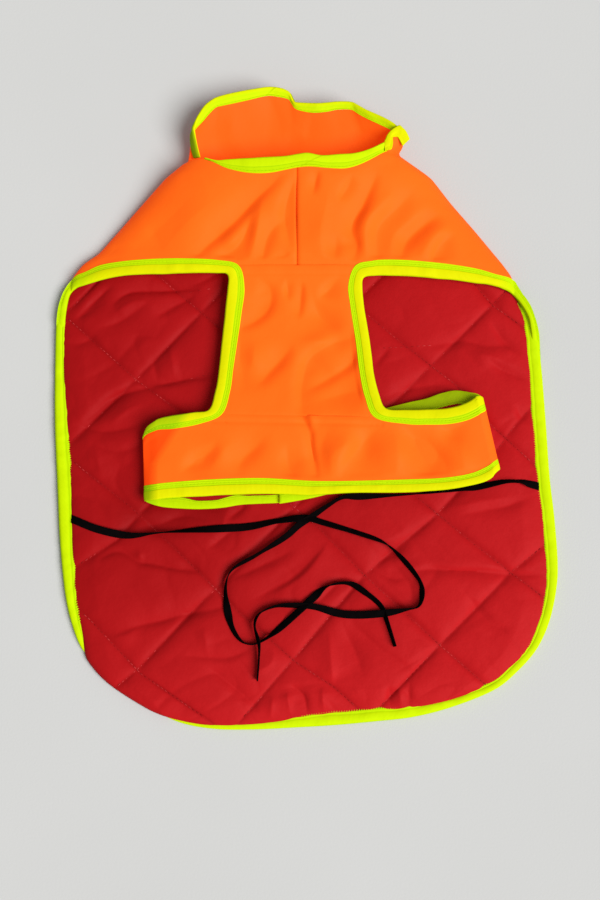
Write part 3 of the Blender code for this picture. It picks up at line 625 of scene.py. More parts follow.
# Painted shade in the stitch grooves, uneven along them, and a painted shadow below the band's left
# part
painted_shade = np.zeros_like(x)
for number, dark in enumerate(QUILT_GROOVE_SHADE):
    off, run, line = quilt_place(x, y, number)
    groove_shade_varies = 0.75 + 0.35 * unevenness(run, line * 50, 9, 35 + number)
    painted_shade = np.maximum(painted_shade, dark * groove_shade_varies * np.exp(-((off / 1.0) ** 2)))
along, across = x - SHADED_X, y - SHADED_Y - SHADED_SLANT * (x - SHADED_X)
shaded = np.exp(-((across / SHADED_WIDTH) ** 2) - (along / SHADED_LENGTH) ** 6)
give_values(lining, "painted_shade", np.maximum(painted_shade, SHADED_DARK * shaded))
shaped = bmesh.new()
shaped.from_mesh(lining.data)
border = [edge for edge in shaped.edges if edge.is_boundary]
dropped = bmesh.ops.extrude_edge_only(shaped, edges=border)["geom"]
for vertex in dropped:
    if isinstance(vertex, bmesh.types.BMVert):
        rolled = vertex.co.y < ROLL_Y * MM and vertex.co.x < ROLL_X * MM
        vertex.co.z = (ROLL_BASE if rolled else LINING_BASE) * MM
bmesh.ops.contextual_create(shaped, geom=[edge for edge in shaped.edges if edge.is_boundary])
bmesh.ops.recalc_face_normals(shaped, faces=shaped.faces)
shaped.to_mesh(lining.data)
shaped.free()
finish_cloth(lining, red, 60)
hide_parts("back_lining")

# Stitches of the diamonds, left out under the front half, which starts at STITCH_TOP_Y, and short
# loose rows that show beside them
STITCH_PITCH = 3.3
STITCH_LENGTH = 2.2
STITCH_THICK = 0.5
STITCH_SUNK = (-0.3, 0.0)  # how deep each family's stitches lie in the cloth
STITCH_MARGIN = 5.0
STITCH_TOP_Y = 94.0
LOOSE_STITCHES = (((58, 39), (90, 41)), ((-80, 80), (-67, 82)), ((-92, 15), (-70, 19)))
side_left = lining_border(left_side)[::-1]
side_right = lining_border(right_side)
hem_line = lining_border(hem_side)


def from_sides(x, y):
    """Distance in from the nearer side border of the lining."""
    left = np.interp(y, side_left[:, 1], side_left[:, 0])
    right = np.interp(y, side_right[:, 1], side_right[:, 0])
    return np.minimum(x - left, right - x)


def stitch_run(x, y, turn, sunk=0.0):
    """Starts and ends of stitches that lie on the lining at x, y in a direction."""
    step = np.array((math.cos(turn), math.sin(turn))) * STITCH_LENGTH / 2
    first = np.stack((x - step[0], y - step[1]), 1)
    last = np.stack((x + step[0], y + step[1]), 1)
    above_hem = y - np.interp(x, hem_line[:, 0], hem_line[:, 1])
    kept = (np.minimum(from_sides(x, y), above_hem) > STITCH_MARGIN) & (y < STITCH_TOP_Y)
    first, last = first[kept], last[kept]
    first = np.column_stack((first, lining_top(*first.T) - sunk))
    last = np.column_stack((last, lining_top(*last.T) - sunk))
    return first, last


runs = []
for number, (degrees, (from_x, from_y)) in enumerate(QUILT_LINES):
    turn = math.radians(degrees)
    for line in range(-6, 7):
        run = np.arange(-420, 420, STITCH_PITCH)
        x = from_x + run * math.cos(turn) - line * QUILT_PITCH * math.sin(turn)
        y = from_y + run * math.sin(turn) + line * QUILT_PITCH * math.cos(turn)
        for _ in range(3):  # each round brings the points nearer to the bent line
            off, _, _ = quilt_place(x, y, number)
            x = x + off * math.sin(turn)
            y = y - off * math.cos(turn)
        runs.append(stitch_run(x, y, turn, STITCH_SUNK[number]))
for (x0, y0), (x1, y1) in LOOSE_STITCHES:
    count = int(math.hypot(x1 - x0, y1 - y0) / STITCH_PITCH)
    share = np.linspace(0, 1, count)
    turn = math.atan2(y1 - y0, x1 - x0)
    runs.append(stitch_run(x0 + (x1 - x0) * share, y0 + (y1 - y0) * share, turn))
starts, ends = (np.concatenate(points) for points in zip(*runs))
sew("quilting_thread", starts, ends, STITCH_THICK, pale_thread)

# ---- The outer shell ----
# One flat panel of orange coated nylon under the lining, which the coat lies on. It is sewn to
# the lining at the edge tape and runs on into the collar.

SHELL_THICK = 1.2
SHELL_TOP_Y = 147.9
SHELL_PAST_TAPE = 0.35  # how far in from the tape's inner border it ends
SHOULDER_TUCK = 1.5
# The dark tone beside the belly band's left fold, in metres: x of its border at y = 0, how that
# leans, its least x, and the height that the tone starts at
FOLD_SHADE_X, FOLD_SHADE_LEAN = -0.0739, 0.643
FOLD_SHADE_LEAST_X = -0.103
FOLD_SHADE_Z = 0.008
# The painted shade deep in the collar: from this y on, and up to this height
COLLAR_SHADE_Y, COLLAR_SHADE_Z = 0.174, 0.0235


def fold_shade(finish):
    """1 beside the belly band's left fold, where the cloth turns from the light, else 0."""
    x, y, z = finish.place()
    slant = y * FOLD_SHADE_LEAN + FOLD_SHADE_X
    border = slant.maths("MAXIMUM", slant, FOLD_SHADE_LEAST_X)
    return (border - x).past(-1 / 300, 150) * z.past(FOLD_SHADE_Z, 500) * y.past(0.0, -200)


def collar_shade(finish):
    """1 on the collar's inner face, deep in the neck, where painted shade darkens it, else 0."""
    _, y, z = finish.place()
    return y.past(COLLAR_SHADE_Y, 200) * z.past(COLLAR_SHADE_Z, -400)


# Its glow is painted light: an emission that keeps the neon orange bright where it lies in shade
orange = Finish("orange_nylon_cloth", 0.55, 0.04, (0.50, 0.016, 0.0))
orange_x, orange_y, _ = orange.place()
orange_faded = orange.patches(0.06, 3.0)
orange_base = orange.mix(orange_faded, (0.46, 0.100, 0.0062, 1), (0.50, 0.116, 0.0078, 1))
orange_fine = orange.patches(0.0012, 2.0)
orange_tint = orange.mix(orange_fine * 0.25, orange_base, (0.42, 0.085, 0.005, 1))
orange_shade = fold_shade(orange) * 0.85 + collar_shade(orange) * 0.3
orange.set("Base Color", orange.mix(orange_shade, orange_tint, (0.42, 0.038, 0.002, 1)))
ORANGE_THREADS = 2 * math.pi / 0.0008
orange_weave = (orange_x * ORANGE_THREADS).sine() * (orange_y * ORANGE_THREADS).sine()
orange.set("Roughness", orange.patches(0.02, 2.0) * 0.14 + 0.48)
orange.bump(orange_weave * 0.3 + orange_fine + 5 * orange.patches(0.007, 3.0), 0.00004)


def shell_border(rows):
    """Where the outer shell ends: beside the inner border of the tape."""
    outer, inner = rows[:, :2], rows[:, 2:4]
    width = np.linalg.norm(inner - outer, axis=1)[:, None]
    return outer + (inner - outer) * (1 + SHELL_PAST_TAPE / width)


def orange_piece(name, x, y, z, thick, facing=1):
    """Orange cloth of a thickness under its face, which looks up, or down for facing -1."""
    piece = grid_piece(name, x, y, z, x * MM, y * MM)
    if sum(face.normal.z for face in piece.data.polygons) * facing < 0:
        piece.data.flip_normals()
    pick(piece)
    wall = piece.modifiers.new("wall", "SOLIDIFY")
    wall.thickness = thick * MM
    wall.offset = -1
    bpy.ops.object.modifier_apply(modifier="wall")
    finish_cloth(piece, orange)
    return piece


shell_folds = [
    (looked_up(SHOULDERS, y, 1) + SHOULDER_TUCK, looked_up(SHOULDERS, y, 2) - SHOULDER_TUCK, y)
    for y in (92, 101, 109, 127, SHELL_TOP_Y)
]
x, y, _ = spread_between(shell_border, shell_folds, 60, 80)
shell = orange_piece("outer_shell", x, y, np.full_like(x, SHELL_THICK), SHELL_THICK)
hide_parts("back_shell")

# ---- The edge tape ----
# Lime bias tape folded over the raw edges of shell and lining, from one shoulder round the hem
# to the other. An overlock thread covers its inner border. At the left corner it rolls under.

EDGE_SECTION = (  # kind of place across, and height: hidden flange, recess, lip, face, outside
    ("hidden", 0.0, 0.0),
    ("hidden", 0.0, 1.2),
    ("recess", 0.0, 1.4),
    ("recess", 0.0, 3.3),
    ("shown", 1.0, 3.55),
    ("shown", 1.02, 3.9),
    ("shown", 0.97, 4.3),
    ("shown", 0.90, 4.5),
    ("shown", 0.80, 4.45),
    ("shown", 0.76, 4.3),
    ("shown", 0.72, 4.45),
    ("shown", 0.62, 4.7),
    ("shown", 0.48, 4.8),
    ("shown", 0.34, 4.75),
    ("shown", 0.22, 4.6),
    ("shown", 0.12, 4.2),
    ("shown", 0.05, 3.4),
    ("shown", 0.0, 2.2),
    ("shown", 0.01, 0.9),
    ("shown", 0.05, 0.1),
)
EDGE_MARKS = (2.0, 2.0, 1.9, 1.2)  # the colour marks of its hidden places, where 2 is underneath
EDGE_LIP = 2.3  # how wide the lip is at its inner border
EDGE_LOW = 1.2  # the height up to which its section keeps its form where the tape lies flat
EDGE_RIPPLED = 2.5  # the height from which its face ripples
EDGE_ENDS = 16.0  # over this length it flattens out at both its ends
EDGE_SHOWN_ROLLED = 0.8
EDGE_ROLLED_IN = 1.6  # how far the whole section moves inwards where it rolls under


def sweep_piece(name, points, u, v):
    """A closed strip through stations x corners x 3 points, with both its ends closed."""
    stations, corners = points.shape[:2]
    order = np.append(np.arange(corners), 0)
    points = points[:, order]
    u = np.repeat(u[:, None], corners + 1, 1) * MM
    v = np.repeat(np.append(v, v[-1])[None], stations, 0)
    piece = grid_piece(name, points[..., 0], points[..., 1], points[..., 2], u, v)
    pick(piece)
    bpy.ops.object.mode_set(mode="EDIT")
    bpy.ops.mesh.select_all(action="SELECT")
    bpy.ops.mesh.remove_doubles(threshold=1e-7)
    bpy.ops.mesh.fill_holes(sides=0)
    bpy.ops.mesh.normals_make_consistent(inside=False)
    bpy.ops.object.mode_set(mode="OBJECT")
    return piece


# The yellow is a painted highlight on a tape's rolled top, the groove colour painted shade in its
# stitch grooves, and the under colour painted shade on its underside and inner side
LIME_BRIGHT = (0.45, 0.59, 0.0005)
LIME_YELLOW_HIGHLIGHT = (0.57, 0.53, 0.0003)
LIME_GREEN = (0.40, 0.56, 0.0003)
LIME_GROOVE_SHADE = (0.29, 0.45, 0.0003)
LIME_UNDER_SHADE = (0.20, 0.26, 0.0012)
LIME_RIBS = 0.00085
# Where painted shade turns the tapes greener round the shoulders, in metres: beyond these x and
# this y
GREEN_LEFT_X, GREEN_RIGHT_X, GREEN_Y = -0.143, 0.138, 0.020


def shoulder_shade(finish):
    """1 on the tapes round the shoulders, where painted shade turns them greener, else 0."""
    x, y, _ = finish.place()
    return (x.past(GREEN_RIGHT_X, 80) + x.past(GREEN_LEFT_X, -60)) * y.past(GREEN_Y, 60)


def tape_finish(name, zones, glow=(0.02, 0.05, 0.0)):
    """Neon tape, ribbed across, whose colour changes across its width at the zones' stops. Its
    underside has painted shade, its glow is painted light, and it takes painted shade round the
    shoulders and beside the band's left fold."""
    tape = Finish(name, 0.65, 0.025, glow)
    run, width, _ = tape.place("UV")
    wander = (tape.patches(0.009, 3.0) - 0.5) * 0.07
    stops = [(place / 2, colour) for place, colour in zones]
    stops += [(0.515, LIME_UNDER_SHADE), (1.0, LIME_UNDER_SHADE)]
    zone = tape.node("ValToRGB", {"stops": stops}, {"Fac": (width + wander) * 0.5})
    tired = tape.mix(tape.patches(0.004, 3.0) * 0.5, zone, (0.34, 0.54, 0.0003, 1))
    tint = tape.mix(0.6, tired, zone)
    tint = tape.mix(shoulder_shade(tape) * 0.9, tint, (*LIME_GREEN, 1))
    tape.set("Base Color", tape.mix(fold_shade(tape) * 0.6, tint, (0.14, 0.32, 0.001, 1)))
    ribbed = (run * (2 * math.pi / LIME_RIBS)).sine() * 0.5
    tape.bump(ribbed + 1.2 * tape.patches(0.0016, 3.0) + 3 * tape.patches(0.006, 2.0), 0.00005)
    return tape


edge_rows = np.concatenate((
    spaced(EDGE, 330, 0, EDGE_LEFT_END),
    spaced(EDGE, 120, EDGE_LEFT_END, EDGE_HEM_END)[1:],
    spaced(EDGE, 340, EDGE_HEM_END)[1:],
))
edge_length = travelled(edge_rows[:, :2])
outer, inner = edge_rows[:, :2], edge_rows[:, 2:4]
rolled = np.clip(edge_rows[:, 4], 0, 1)
width = np.linalg.norm(inner - outer, axis=1)
inwards = (inner - outer) / width[:, None]
wobble = 0.4 * unevenness(edge_length, 0 * edge_length, 13, 61)
wobble = wobble + 0.3 * unevenness(edge_length, 0 * edge_length, 3.5, 64)
near_ends = np.minimum(edge_length, edge_length[-1] - edge_length)
shown = (1 - rolled) * (width - 0.6 + wobble) + rolled * EDGE_SHOWN_ROLLED
recess = shown - np.minimum(EDGE_LIP, 0.6 * shown)
upright = 0.88 * np.clip(shown / (width - 1.0) - 0.1, 0, 1) / 0.9
upright = upright * (1 - 0.8 * np.exp(-((near_ends / EDGE_ENDS) ** 4)))
places = []
for kind, share, height in EDGE_SECTION:
    across = {"hidden": width, "recess": recess, "shown": share * shown}[kind]
    ripple = 0.0
    if kind == "shown" and height > EDGE_RIPPLED:
        ripple = 0.28 * unevenness(edge_length, np.full_like(width, share * 9), 6.5, 62)
        ripple = ripple + 0.2 * unevenness(edge_length, np.full_like(width, share * 3), 21, 63)
    full = np.full_like(width, height)
    if height > EDGE_LOW:
        full = EDGE_LOW + (height + ripple - EDGE_LOW) * (0.1 + upright)
    spot = outer + inwards * (across + EDGE_ROLLED_IN * rolled**4)[:, None]
    places.append(np.column_stack((spot, full)))
edge_points = np.stack(places, 1)
edge_shares = np.array([*EDGE_MARKS, *(share for _, share, _ in EDGE_SECTION[4:])])
edge_tape = sweep_piece("edge_tape", edge_points, edge_length, edge_shares)
edge_lime = tape_finish(
    "edge_tape_lime",
    ((0.0, LIME_GREEN), (0.10, LIME_BRIGHT), (0.62, LIME_BRIGHT), (0.72, LIME_GREEN),
     (0.94, LIME_GREEN), (1.0, LIME_GROOVE_SHADE)),
)
finish_cloth(edge_tape, edge_lime, 50)
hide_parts("edge_binding")

# Overlock thread, slanting over the tape's inner border
# Its glow is painted light, as on the tapes
lime_thread = Finish("lime_thread", 0.65, 0.03, (0.02, 0.05, 0.0))
lime_thread.set("Base Color", (0.42, 0.60, 0.001, 1))
OVERLOCK_PITCH = 1.7
OVERLOCK_THICK = 0.55
OVERLOCK_REACH = 0.75  # how far it reaches to both sides of the border
OVERLOCK_HEIGHTS = (3.75, 4.62)  # on the lining and on the tape
turns = np.arange(6, edge_length[-1] - 6, OVERLOCK_PITCH)


def along_edge(distance, across, height):
    """Points beside the tape's inner border, at distances along and across it, and how far the
    edge is rolled under there."""
    columns = np.column_stack((inner, inwards, shown - width, rolled))
    at = np.stack([np.interp(distance, edge_length, column) for column in columns.T], 1)
    spot = at[:, :2] + at[:, 2:4] * (at[:, 4] + across)[:, None]
    return np.column_stack((spot, height + 0 * distance)), at[:, 5]


inside_ends, hidden = along_edge(turns + 0.5, OVERLOCK_REACH, OVERLOCK_HEIGHTS[0])
outside_ends, _ = along_edge(turns - 0.3, -OVERLOCK_REACH, OVERLOCK_HEIGHTS[1])
bare = hidden < 0.15
sew("edge_overlock", outside_ends[bare], inside_ends[bare], OVERLOCK_THICK, lime_thread)

# ---- The collar ----
# Orange nylon, the back of the neck's tube. It lifts off the table behind the yoke and stands
# open, so that its inner face shows between the two neck tapes.

COLLAR_SIDES = (  # way up the collar, left x, y and height, right x, y and height
    (0.0, -113, 148.3, 0.6, 106, 148.3, 0.6), (0.15, -104.5, 156.5, 2.2, 97, 156, 2.2),
    (0.3, -96, 165, 5.5, 85, 164, 5.5), (0.45, -82, 174.5, 10.0, 67, 174, 10.5),
    (0.6, -80.8, 182, 11.5, 66.5, 180.5, 13.0), (0.8, -80, 191, 14.0, 71, 187.5, 16.5),
    (1.0, -76.3, 196.9, 18.1, 63.1, 195.8, 18.1),
)  # fmt: skip
NECK_BACK = (  # the cloth's border x, y and height, the rim's x, y and height
    (-77.4, 177.1, 12.0, -73.2, 175.9, 17.0), (-79.3, 183.5, 13.0, -74.6, 181.3, 18.5),
    (-79.9, 189.3, 14.5, -75.8, 187.1, 20.0), (-79.3, 193.7, 16.5, -76.9, 192.1, 21.5),
    (-76.3, 196.9, 19.5, -77.6, 196.4, 22.8), (-71.7, 200.8, 21.0, -75.7, 203.2, 23.5),
    (-66.0, 207.3, 22.0, -70.7, 211.4, 24.0), (-61.8, 211.2, 22.3, -65.0, 216.2, 24.3),
    (-57.7, 212.4, 22.3, -60.3, 218.7, 24.3), (-50.1, 214.2, 22.0, -50.1, 221.8, 24.0),
    (-37.0, 217.7, 21.0, -35.1, 225.1, 23.0), (-29.5, 220.1, 20.0, -26.6, 227.0, 22.0),
    (-23.8, 221.3, 19.0, -20.1, 227.5, 21.0), (-18.4, 220.8, 18.5, -15.9, 227.0, 20.5),
    (-13.5, 220.1, 18.0, -13.0, 226.3, 20.0), (-9.7, 218.9, 17.5, -9.6, 224.3, 19.5),
    (-7.3, 215.6, 17.0, -7.9, 220.4, 19.2), (-5.2, 212.8, 16.5, -6.3, 217.4, 19.0),
    (-1.2, 211.1, 16.5, -2.6, 216.5, 19.0), (7.6, 209.4, 17.0, 6.7, 215.9, 19.5),
    (17.0, 209.9, 17.5, 16.0, 216.1, 20.0), (25.6, 211.6, 17.5, 24.5, 217.0, 20.0),
    (35.0, 211.4, 17.5, 34.0, 216.8, 20.0), (40.6, 207.7, 18.0, 38.7, 214.6, 20.5),
    (47.2, 203.8, 18.5, 45.2, 210.4, 21.0), (54.6, 200.0, 19.0, 54.5, 205.9, 21.5),
    (63.1, 195.4, 19.5, 62.4, 201.4, 22.0), (66.2, 192.0, 20.0, 68.0, 197.0, 22.0),
    (68.5, 188.2, 19.5, 72.6, 192.6, 21.5), (70.6, 184.5, 18.5, 75.3, 188.0, 20.5),
)  # fmt: skip
COLLAR_RIM = (4, 26)  # the rows of it between which the collar's cloth ends there
COLLAR_RISE = 1.7  # the power at which its middle lifts
CLOTH = 1.4
COLLAR_CRISP = 0.1
COLLAR_CREASES = (
    (-0.9, 7, (-29, 224), (-19, 210), (-14, 188)),
    (-1.2, 7, (-65, 184), (-48, 181)),
    (-1.2, 7, (-14, 190), (1, 190)),
    (0.9, 9, (-48, 210), (-53, 190)),
    (-1.4, 9, (55, 200), (46, 190), (34, 185)),
    (-0.8, 6, (8, 210), (3, 190)),
)
COLLAR_COLUMNS, COLLAR_ROWS = 150, 64
rim = spaced(NECK_BACK, COLLAR_COLUMNS, *COLLAR_RIM)
up = np.linspace(0, 1, COLLAR_ROWS + 1)
share = np.linspace(0, 1, COLLAR_COLUMNS + 1)[:, None]
way_up, *sides = np.array(COLLAR_SIDES).T
left_x, left_y, left_z, right_x, right_y, right_z = (
    np.interp(up, way_up, column)[None] for column in sides
)
bow_x = rim[:, 0:1] - (left_x[0, -1] + (right_x[0, -1] - left_x[0, -1]) * share)
bow_y = rim[:, 1:2] - (left_y[0, -1] + (right_y[0, -1] - left_y[0, -1]) * share)
x = left_x + (right_x - left_x) * share + bow_x * up**2
y = left_y + (right_y - left_y) * share + bow_y * up**2
side_z = np.where(share < 0.5, left_z, right_z)
middle_z = (rim[:, 2:3] - CLOTH) * up**COLLAR_RISE
z = middle_z + (side_z - middle_z) * np.abs(2 * share - 1) ** 7 + CLOTH
z = z + relief(x, y, COLLAR_CREASES, COLLAR_CRISP) + 0.3 * unevenness(x, y, 28, 71)
collar = orange_piece("collar_cloth", x, y, z, CLOTH)
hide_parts("collar_back")

# ---- The yoke ----
# Two halves of orange nylon joined by a seam down the middle of the chest. They run from the
# neck to the leg openings and fold round the shoulders into the shell.

LEG_LEFT = (  # the cloth's border x and y, and the opening's edge x and y
    (-163.4, 90.4, -161.8, 82.4), (-154, 94, -155, 84), (-144, 98, -141, 87.5),
    (-129, 100, -126, 89.5), (-110, 101, -109, 90), (-85, 101, -85, 90.3),
    (-60, 99.5, -62, 90.2), (-45, 95.5, -53, 89), (-41, 80, -53, 78), (-43, 62, -55, 61),
    (-46, 40, -57, 40), (-48.5, 22, -58.5, 22), (-50.5, 6, -61, 6), (-56, -10.5, -65, -7.2),
    (-71, -17.3, -76, -9.3), (-89, -20.8, -91, -11.4), (-99.5, -21.5, -100.5, -13.8),
    (-106, -23.6, -107.2, -18.4), (-109.6, -25.8, -110.4, -24), (-112.2, -27.6, -112.4, -27),
    (-118, -28, -118.2, -27.2),
)  # fmt: skip
LEG_RIGHT = (
    (150, 89.2, 141.5, 82), (137, 91.8, 131, 84), (124, 95, 122, 84.5),
    (105, 97.5, 104, 86.5), (80, 99.5, 80, 88), (61, 100, 60, 88.5), (49, 99, 51, 88.5),
    (37, 95.5, 43, 87), (32, 82, 42, 79), (33.5, 66, 43.5, 66), (37, 42, 47, 43),
    (39.5, 20, 49.5, 21), (43, 2, 53, 4), (50, -13, 58, -6.5), (72, -17.6, 73, -7.2),
    (87, -18, 87, -6.9), (101, -17.6, 98, -6.5), (113, -15.2, 107.5, -4.8),
    (121.5, -11.4, 115.5, -1.6), (127.5, -7.4, 122.5, 2.5), (131.2, -4.2, 127.6, 1.4),
)  # fmt: skip
LEG_CORNERS = (7, 13)  # the rows of both where the yoke ends and where the belly band starts
NECK_FRONT = (  # the cloth's border x and y, and the rim's x and y
    (-69.9, 171.9, -69.2, 172.8), (-64.1, 169.3, -63.4, 170.6), (-59.6, 166.7, -59.1, 169.9),
    (-54.8, 164.2, -54.1, 170.2), (-49.4, 162.3, -49.1, 170.3), (-40, 160.1, -40.1, 170.5),
    (-30.7, 159.3, -30.7, 170.6), (-21.6, 159.8, -21.6, 171), (-12.2, 161.6, -11, 171.8),
    (-4, 163.2, -3.4, 173), (5.1, 163.9, 3.7, 173.9), (16.6, 163, 13.6, 172.3),
    (27.7, 162.7, 25.9, 173.4), (35.1, 164.1, 34.7, 174.2), (42.6, 167.2, 41.8, 175.8),
    (50.1, 171.5, 48.3, 178.7), (56.8, 176.1, 54.4, 182), (60, 178, 57.5, 183.7),
)  # fmt: skip
NECK_CORNERS = (  # where the yoke goes on beyond the ends of that tape
    ((-76, 172.4), (-81.5, 171)),
    ((62.5, 187), (66, 192.5), (71.5, 190)),
)
NECK_CENTRE = 9  # its row at the centre seam
CENTRE_SEAM_X = -4.0
YOKE_SEAM_Y = 96.3
BAND_SEAM_Y, BAND_SEAM_LEAN = -11.6, -0.02
SEAM_MIDDLE_X, SEAM_HALF = -4.0, 60.0  # both seams reach this far to each side of here
SEAM_GAP = 0.1  # between the cloth of two pieces and the seam that joins them
STITCH_ROW = 6.7  # from the yoke's seam down to the second stitch row
BAND_STITCH_ROW = 5.2  # and the same for the band's
UNDER_TAPE = 0.45  # how far the cloth reaches in under a tape, as a share of its width
BAND_MIDDLE = 14.8  # height of the middle of the belly band's loop
BAND_ROUND = 4.4  # half the height of the loop
BAND_TOP = BAND_MIDDLE + BAND_ROUND
BAND_FOLDS = ((-112.4, 0.045), (126.4, 0.212))  # x of each fold at y = 0, and how it leans
FOLD_REACH = (10.0, 6.0)  # how far in from each fold the loop's faces round down to it
FOLD_SHAPE = 1.4  # the power of the round: 2 would be an ellipse
FRONT_CREST = (  # y, and the height of the front half's middle
    (-60, BAND_TOP), (-10, BAND_TOP), (20, 17.4), (50, 16.0), (75, 17.2), (98, 20.5),
    (130, 26.0), (160, 31.0), (185, 33.0),
)  # fmt: skip
YOKE_COLUMNS, YOKE_ROWS = 170, 80
YOKE_DEPTH = 68.0  # from the neck to the seam
FOLD_ROWS = 8  # rows of the cloth round each shoulder, down to FOLD_LOW over the table
FOLD_LOW = 0.35
BAND_TO_YOKE_Y, BAND_TO_YOKE = 10.0, 14.0  # from this y, over this length, loop turns to arch
ARCH_SIDES, ARCH_TOP = 2.6, 0.55  # the powers of the arch of the front over the shoulders
TAPE_COVERS, TAPE_CLEARS = 4.5, 3.0  # creases start this far in from a tape and grow over this
FRONT_CREASE_SCALE = 2.7
FRONT_CREASE_WIDE = 1.45
FRONT_CRISP = 0.12
YOKE_LEFT_CREASES = (
    (-1.9, 5.5, (-17, 158), (-37, 138), (-56, 120), (-75, 101)),
    (-1.3, 4, (-37, 126), (-47, 109), (-58, 101)),
    (0.8, 5, (-44, 116), (-54, 109)),
    (-1.5, 4.5, (-7, 154), (-12, 132), (-9, 109)),
    (-1.2, 4.5, (-14, 127), (-24, 113), (-28, 98)),
    (0.9, 5, (-28, 137), (-32, 116), (-37, 100)),
    (-0.6, 2, (-11, 104), (-20, 97)),
    (-0.7, 10, (-77, 146), (-101, 123), (-117, 109)),
    (0.8, 10, (-56, 148), (-84, 123), (-101, 102)),
    (-0.7, 8, (-108, 125), (-96, 104)),
)
YOKE_RIGHT_CREASES = (
    (-0.9, 3, (12, 161), (7, 147)),
    (-1.0, 3.5, (33, 158), (26, 143)),
    (-1.9, 5, (50, 160), (42, 140), (35, 125), (38, 111), (34, 100)),
    (-2.1, 8, (77, 148), (60, 132), (53, 116), (55, 101)),
    (-1.9, 6, (97, 133), (83, 123), (74, 113), (69, 101)),
    (-1.3, 5, (105, 117), (96, 109), (92, 98)),
    (-0.8, 4, (24, 117), (22, 101)),
    (0.9, 6, (64, 150), (46, 127), (45, 102)),
    (0.9, 6, (85, 137), (66, 118), (62, 102)),
    (0.8, 6, (104, 127), (87, 109), (83, 100)),
    (0.7, 6, (17, 148), (13, 120), (15, 100)),
)


def band_insets(x, y):
    """Distances in from the left and the right fold of the belly band."""
    (left, lean_left), (right, lean_right) = BAND_FOLDS
    return x - (left - lean_left * y), (right - lean_right * y) - x


def fold_half(x, y):
    """Height of the belly band's loop over or under its middle, less beside its folds."""
    insets = [np.clip(inset / reach, 0, 1) for inset, reach in zip(band_insets(x, y), FOLD_REACH)]
    inside = np.minimum(*insets)
    return BAND_ROUND * (1 - (1 - inside) ** FOLD_SHAPE) ** (1 / FOLD_SHAPE)


def front_height(x, y):
    """Height of the outer face of yoke, chest strip and belly band, without creases."""
    crest = looked_up(FRONT_CREST, y, 1, 9.0)
    band = crest - BAND_ROUND + fold_half(x, y)
    left, right, fold = (looked_up(SHOULDERS, y, column, 2.0) for column in (1, 2, 3))
    across = np.abs(x - (left + right) / 2) / ((right - left) / 2)
    arch = fold + (crest - fold) * np.maximum(1 - across**ARCH_SIDES, 0.0) ** ARCH_TOP
    share = np.clip((y - BAND_TO_YOKE_Y) / BAND_TO_YOKE, 0, 1)
    share = share * share * (3 - 2 * share)
    return band * (1 - share) + arch * share


def under_tape(rows, share=UNDER_TAPE):
    """Points some way across a tape's rows, from the cloth's border towards the free edge."""
    return rows[:, :2] + (rows[:, 2:4] - rows[:, :2]) * share


def band_seam(x):
    """y of the seam between chest strip and belly band."""
    return BAND_SEAM_Y + BAND_SEAM_LEAN * x


def seam_groove(x, y):
    """How deep the seams of the front half, and the second stitch row beside two of them, pull
    the cloth in."""
    centre = 1.5 * np.exp(-np.abs(x - CENTRE_SEAM_X) / 0.9) * (y > 96)
    over_yoke, over_band = y - YOKE_SEAM_Y, y - band_seam(x)
    yoke = 0.8 * np.exp(-np.abs(over_yoke) / 1.2)
    yoke = yoke + 0.22 * np.exp(-((over_yoke + STITCH_ROW) ** 2))
    band = 0.4 * np.exp(-np.abs(over_band - 0.2) / 0.8)
    band = band + 0.9 * np.exp(-np.abs(over_band + BAND_STITCH_ROW) / 0.9)
    return centre + (yoke + band) * (np.abs(x - SEAM_MIDDLE_X) < SEAM_HALF)


def front_relief(x, y, creases):
    """Creases and unevenness of the front half's cloth."""
    soft = 0.5 * unevenness(x, y, 31, 81) + 0.2 * unevenness(x, y, 11, 82)
    deep = FRONT_CREASE_SCALE * relief(x, y, creases, FRONT_CRISP, FRONT_CREASE_WIDE)
    return deep + soft


def shoulder_lift(x, y):
    """How much higher the front half's lower corners lie, where its leg tapes go on over the
    edge tape, before they sink into it."""
    beyond = np.clip(np.maximum(-160 - x, x - 146) / 6, 0, 1)
    hump = np.where(x < 0, 0.3, 2.2) * np.exp(-(((y - 66) / 13) ** 2)) - 0.4
    low = np.maximum(np.where(x < 0, 60, 50) - y, 0)
    return beyond * hump - 0.3 * low * (beyond > 0)


def clear_of_tape(distance):
    """0 where a tape covers the cloth, at a distance in from its border, and 1 beyond."""
    return np.clip((distance - TAPE_COVERS) / TAPE_CLEARS, 0, 1)


